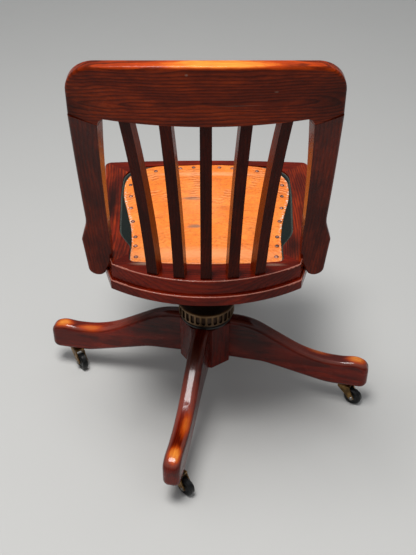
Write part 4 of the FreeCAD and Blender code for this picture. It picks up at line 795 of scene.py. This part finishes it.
def worn_leather(seat):
    """Tan leather with sitting creases, dark stains, pale flecks along its cut edge, and painted reflections
    in pale bands at its front and rear.
    """
    leather, tree, shader, where = new_material("tan_leather")
    pores = add(tree, "ShaderNodeTexVoronoi", {"Vector": where, "Scale": 620.0}).outputs["Distance"]
    cells = add(tree, "ShaderNodeTexVoronoi", {"Vector": where, "Scale": 240.0},
                feature="DISTANCE_TO_EDGE").outputs["Distance"]
    cloudy = speckle(tree, where, 16.0, 6.0, 0.65)
    mottled = speckle(tree, where, 210.0, 5.0, 0.7)
    from_edge = add(tree, "ShaderNodeAttribute", attribute_name="from_edge").outputs["Fac"]
    face = blend_paint(tree, spread(tree, cloudy, 0.38, 0.72), seat.leather, seat.sunny)
    face = over(tree, face, seat.crack, spread(tree, mottled, 0.42, 0.7), 0.5)
    streaky = speckle(tree, vector_sum(tree, "MULTIPLY", where, (14.0, 120.0, 30.0)), 1.0, 4.0, 0.6)
    face = over(tree, face, seat.crack, spread(tree, streaky, 0.52, 0.7), 0.3)
    seat_height, rise = 0.43, 0.1
    for x, y, wide, deep, strength, tint in LEATHER_WEAR_AND_SHEEN:
        patch = {"Vector": where, "Centre": (x, y, seat_height), "Reach": (wide, deep, rise), "Ragged": 1.1}
        mask = effect(tree, "ragged_patch", patch)["Mask"]
        face = over(tree, face, getattr(seat, tint), mask, strength)
    sitter = vector_sum(tree, "ADD", where, (0.0, -0.24, 0.0))
    rings = add(tree, "ShaderNodeTexWave",
                {"Vector": sitter, "Scale": 36.0, "Distortion": 6.0, "Detail": 3.0, "Detail Scale": 1.6},
                wave_type="RINGS", rings_direction="Z").outputs["Fac"]
    patches = spread(tree, speckle(tree, where, 24.0, 2.0), 0.46, 0.62)
    axes = axes_of(tree, where)
    patches = times(tree, patches, spread(tree, axes[1], -0.03, -0.1, 0.25, 1.0))
    creased = times(tree, spread(tree, rings, 0.35, 0.75), patches)
    face = over(tree, face, seat.crack, creased, 0.5)
    face = over(tree, face, seat.faded_and_sheen, times(tree, spread(tree, rings, 0.25, 0.05), patches), 0.6)
    face = over(tree, face, seat.crack, spread(tree, cells, 0.05, 0.0), 0.2)
    flecks = times(tree, spread(tree, speckle(tree, where, 260.0, 3.0, 0.6), 0.53, 0.6),
                    spread(tree, from_edge, 0.007, 0.001))
    flecks = times(tree, flecks, spread(tree, sum_up(tree, "ABSOLUTE", axes[0]), 0.12, 0.145))
    face = blend_paint(tree, flecks, face, seat.fleck)
    feed(tree, shader, {"Base Color": face, "Roughness": spread(tree, cloudy, 0.3, 0.75, 0.36, 0.55),
                        "Coat Weight": 0.12, "Coat Roughness": 0.3})
    relief = sum_up(tree, "MULTIPLY_ADD", cells, 0.8, times(tree, pores, 0.4))
    relief = sum_up(tree, "MULTIPLY_ADD", creased, -0.9, sum_up(tree, "ADD", relief, flecks))
    bumped(tree, shader, relief, 0.0007, 0.8)
    return leather


def leather_dips(x, y, spots):
    """How much of a nail's pull reaches a place, from 0 to 1."""
    reach, too_far = 0.0085, 9
    pull = 0.0
    for spot in spots:
        away = ((x - spot.x) ** 2 + (y - spot.y) ** 2) / reach ** 2
        if away < too_far:
            pull = max(pull, math.exp(-away))
    return pull


def leather_top(x, y, inwards, seat, spots, low, high):
    """Height of the leather at a place. inwards is 0 at its edge and 1 at its middle."""
    thickness, dome_reach, dome_ahead = 0.0016, 0.208, 0.03
    # The factors of inwards say how soon behind the edge each term sets in
    dome = high - (high - low - thickness) * (x ** 2 + (y + dome_ahead) ** 2) / dome_reach ** 2
    full = seat.crown * min(1.0, inwards * 3.2)
    slow = unevenness(x, y, 9, 1.7)
    arcs = math.sin(140 * math.hypot(x * 0.6, y + 0.33) + 5 * slow)
    front_band, rear_band = math.exp(-((y + 0.135) / 0.05) ** 2), math.exp(-((y - 0.112) / 0.022) ** 2)
    band = front_band + 0.6 * rear_band
    creases = seat.crease * arcs * band * min(1.0, inwards * 6)
    uneven = 0.0006 * slow + 0.0003 * unevenness(x, y, 34, 4.1)
    curl = 0.0014 * max(0.0, noise.noise(Vector((x * 42, 2.2, y * 12)))) * max(0.0, 1 - inwards * 22)
    pull = seat.dimple * leather_dips(x, y, spots)
    return dome + full + creases + uneven * min(1.0, inwards * 5) + curl - pull


class CHAIR_OT_stretch_leather(bpy.types.Operator):
    """Stretch the leather panel over the cloth, pulled down by its nails"""
    bl_idname = "chair.stretch_leather"
    bl_label = "Leather"

    def execute(self, context):
        seat = context.scene.chair_seat
        low, high = (corner.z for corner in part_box("seat_leather"))
        count, rows = 320, 64
        rim = rim_of("seat_leather", count)
        middle = sum(rim, Vector((0, 0))) / count
        spots = nail_spots()
        vertices, from_edge = [], [0.0] * count
        undercut, above_cloth = 0.998, 0.0001
        for point in rim:
            inner = middle.lerp(point, undercut)
            vertices.append((inner.x, inner.y, low + above_cloth))
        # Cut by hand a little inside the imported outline, its upper edge rounded over the first rows
        ragged, cut_back, rounding, closer_at_edge = 0.0012, 0.0008, {0: 0.0009, 1: 0.0002}, 1.25
        for row in range(rows):
            inwards = (row / rows) ** closer_at_edge
            for point in rim:
                trim = ragged * unevenness(point.x, point.y, 30, 8.0) - cut_back
                start = point + (point - middle).normalized() * min(trim, 0)
                place = start.lerp(middle, inwards)
                height = leather_top(place.x, place.y, inwards, seat, spots, low, high)
                vertices.append((place.x, place.y, height - rounding.get(row, 0.0)))
                from_edge.append((place - start).length)
        from_edge.append(0.1)
        vertices.append((middle.x, middle.y, leather_top(middle.x, middle.y, 1.0, seat, spots, low, high)))
        faces = grid_faces(rows + 1, count, True)
        last = rows * count
        faces += [(last + j, last + (j + 1) % count, len(vertices) - 1) for j in range(count)]
        faces.append(tuple(range(count)))

        panel = solid("leather_panel", vertices, faces, worn_leather(seat))
        mark(panel, "from_edge", from_edge)
        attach(panel, "seat")
        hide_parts("seat_leather")
        return {"FINISHED"}


class CHAIR_OT_drive_nails(bpy.types.Operator):
    """Drive the domed nails through the leather, each a little askew"""
    bl_idname = "chair.drive_nails"
    bl_label = "Nails"

    def execute(self, context):
        seat = context.scene.chair_seat
        chance, askew = random.Random(7), 0.1
        sides, vertices, faces = 20, [], []
        # Radius and height: shank, underside of the head, dome
        profile = ((0.0009, -0.0085), (0.0009, -0.0004), (0.0040, -0.0006), (0.0043, -0.0001),
                   (0.0040, 0.0006), (0.0033, 0.0013), (0.0021, 0.0019), (0.0009, 0.00215))
        sunk = seat.dimple * 0.55 - 0.0002
        for spot in nail_spots():
            lean = Euler((chance.uniform(-askew, askew), chance.uniform(-askew, askew), chance.uniform(0, 3)))
            faces += tube_faces(len(profile), sides, len(vertices))
            for radius, height in profile:
                for turn in turns_round(sides):
                    point = Vector((radius * math.cos(turn), radius * math.sin(turn), height))
                    point.rotate(lean)
                    vertices.append(spot + point - Vector((0, 0, sunk)))
        finish = context.scene.chair_metal
        bronze = metal("nail_bronze", finish.nail, paint("#bb8270"), 0.45, 0.38, 4.0, 0.0001)
        nails = solid("domed_nails", vertices, faces, bronze)
        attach(nails, "seat")
        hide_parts("upholstery_nails")
        return {"FINISHED"}


class CHAIR_OT_dress_casters(bpy.types.Operator):
    """Brass forks and sleeves, steel axles, and hard black wheels"""
    bl_idname = "chair.dress_casters"
    bl_label = "Casters"

    def execute(self, context):
        finish = context.scene.chair_metal
        brass = metal("caster_brass", finish.brass, paint("#5b4326"), 0.9, 0.3, 2.0)
        steel = metal("caster_steel", finish.steel, paint("#6d5a45"), 1.0, 0.35, 2.0)
        tread, tree, shader, where = new_material("caster_tread")
        scuffs = speckle(tree, where, 160.0, 5.0, 0.7)
        face = blend_paint(tree, spread(tree, scuffs, 0.5, 0.75), finish.tread, paint("#1d1c1b"))
        feed(tree, shader, {"Base Color": face, "Specular IOR Level": 0.3,
                            "Roughness": spread(tree, scuffs, 0.3, 0.8, 0.3, 0.55)})
        bumped(tree, shader, scuffs, 0.0002)
        for number in range(1, LEG_COUNT + 1):
            dress(["caster_fork_%d" % number], brass)
            dress(["caster_axle_%d" % number], steel)
            dress(["caster_wheel_%d" % number], tread)
        dress(["caster_sleeves"], brass)
        return {"FINISHED"}


class CHAIR_OT_drive_screws(bpy.types.Operator):
    """Finish the screws that hold the stiles, and show their slots"""
    bl_idname = "chair.drive_screws"
    bl_label = "Screws"

    def execute(self, context):
        finish = context.scene.chair_metal
        brass, tree, shader, where = new_material("screw_brass")
        spots = pieces_of("stile_screws")
        low, high = min(spot[0].z for spot in spots), max(spot[0].z for spot in spots)
        axes = axes_of(tree, where)
        # How far a place is from the nearest screw's middle, measured across its slanting slot
        lean = sum_up(tree, "MULTIPLY_ADD", sum_up(tree, "SUBTRACT", axes[1], spots[0][0].y), 0.4, axes[2])
        row = sum_up(tree, "DIVIDE", sum_up(tree, "SUBTRACT", lean, low), high - low)
        away = times(tree, sum_up(tree, "PINGPONG", row, 0.5), high - low)
        slot = spread(tree, away, 0.0007, 0.0005)
        age = effect(tree, "metal_age", {"Vector": where, "Scale": 3.0})
        face = blend_paint(tree, age["Tarnish"], finish.brass, paint("#4b3820"))
        face = blend_paint(tree, slot, face, paint("#120d0a"))
        feed(tree, shader, {"Base Color": face, "Metallic": 0.9, "Roughness": 0.4})
        bumped(tree, shader, sum_up(tree, "MULTIPLY_ADD", slot, -3.0, age["Height"]), 0.0003)
        dress(["stile_screws"], brass)
        return {"FINISHED"}


class CHAIR_OT_set_stage(bpy.types.Operator):
    """Pale floor, soft light from above and the camera of the photograph"""
    bl_idname = "chair.set_stage"
    bl_label = "Stage"

    def execute(self, context):
        scene, plan = context.scene, context.scene.chair_stage
        # A flat round floor whose rim bends up into a wall
        reach, bend, wall, sides, steps = plan.reach, 2.0, 3.0, 120, 12
        bends = [QUARTER * i / steps for i in range(steps + 1)]
        line = [(reach + bend * math.sin(turn), bend * (1 - math.cos(turn))) for turn in bends]
        line.append((reach + bend, wall))
        vertices = [(radius * math.cos(turn), radius * math.sin(turn), height)
                    for radius, height in line for turn in turns_round(sides)]
        faces = [tuple(range(sides))] + grid_faces(len(line), sides, True)
        pale, tree, shader, where = new_material("pale_floor")
        clouds = spread(tree, speckle(tree, where, 3.0), 0.4, 0.7, 0.0, 0.06)
        feed(tree, shader, {"Base Color": blend_paint(tree, clouds, plan.floor, paint("#adaca9")),
                            "Roughness": 0.9, "Specular IOR Level": 0.2})
        floor = solid("studio_floor", vertices, faces, pale)

        world = bpy.data.worlds.new("studio_sky")
        scene.world = world
        world.use_nodes = True
        sky = world.node_tree
        towards = sky.nodes.new("ShaderNodeTexCoord").outputs["Generated"]
        strength = times(sky, spread(sky, axes_of(sky, towards)[2], 0.3, 1.0, 0.3, 1.0), plan.sky)
        feed(sky, sky.nodes["Background"], {"Color": (0.93, 0.96, 1.0), "Strength": strength})

        lamp = bpy.data.lights.new("overhead_lamp", "AREA")
        lamp.shape, lamp.size, lamp.energy = "SQUARE", 1.1, plan.overhead
        holder = bpy.data.objects.new("overhead_lamp", lamp)
        scene.collection.objects.link(holder)
        holder.location = (0.45, 0.55, 3.0)
        seat_centre = Vector((0.0, 0.1, 0.2))
        holder.rotation_euler = (seat_centre - holder.location).to_track_quat("-Z", "Y").to_euler()

        camera = bpy.data.cameras.new("photo_camera")
        camera.lens, camera.sensor_width, camera.sensor_fit = plan.lens, 36.0, "AUTO"
        camera.clip_start, camera.clip_end = 0.01, 60.0
        holder = bpy.data.objects.new("photo_camera", camera)
        scene.collection.objects.link(holder)
        holder.location = (plan.camera_side, plan.camera_back, plan.camera_height)
        holder.rotation_euler = (QUARTER - plan.camera_dip, 0.0, math.pi)
        scene.camera = holder
        scene.view_settings.view_transform = "Standard"
        return {"FINISHED"}


OPERATORS = (CHAIR_OT_set_stage, CHAIR_OT_dress_base, CHAIR_OT_dress_back, CHAIR_OT_dress_seat_frame,
             CHAIR_OT_dress_ironwork, CHAIR_OT_cut_threads, CHAIR_OT_wind_spring, CHAIR_OT_lay_cloth,
             CHAIR_OT_stretch_leather, CHAIR_OT_drive_nails, CHAIR_OT_drive_screws, CHAIR_OT_dress_casters)
GROUPS_OF_VALUES = {"chair_wood": ChairWood, "chair_metal": ChairMetal, "chair_seat": ChairSeat,
                    "chair_stage": ChairStage}


class CHAIR_PT_workshop(bpy.types.Panel):
    """The chair's pieces and their sizes and colours"""
    bl_label = "Bankers Swivel Chair"
    bl_space_type = "VIEW_3D"
    bl_region_type = "UI"
    bl_category = "Chair"

    def draw(self, context):
        for name, kind in GROUPS_OF_VALUES.items():
            box = self.layout.box()
            for value in kind.__annotations__:
                box.prop(getattr(context.scene, name), value)
        for operator in OPERATORS:
            self.layout.operator(operator.bl_idname)


def register():
    for kind in (*GROUPS_OF_VALUES.values(), *OPERATORS, CHAIR_PT_workshop):
        bpy.utils.register_class(kind)
    for name, kind in GROUPS_OF_VALUES.items():
        setattr(bpy.types.Scene, name, PointerProperty(type=kind))


def unregister():
    for name in GROUPS_OF_VALUES:
        delattr(bpy.types.Scene, name)
    for kind in reversed((*GROUPS_OF_VALUES.values(), *OPERATORS, CHAIR_PT_workshop)):
        bpy.utils.unregister_class(kind)


def main():
    register()
    for operator in OPERATORS:
        group, call = operator.bl_idname.split(".")
        getattr(getattr(bpy.ops, group), call)()


if __name__ == "__main__":
    main()
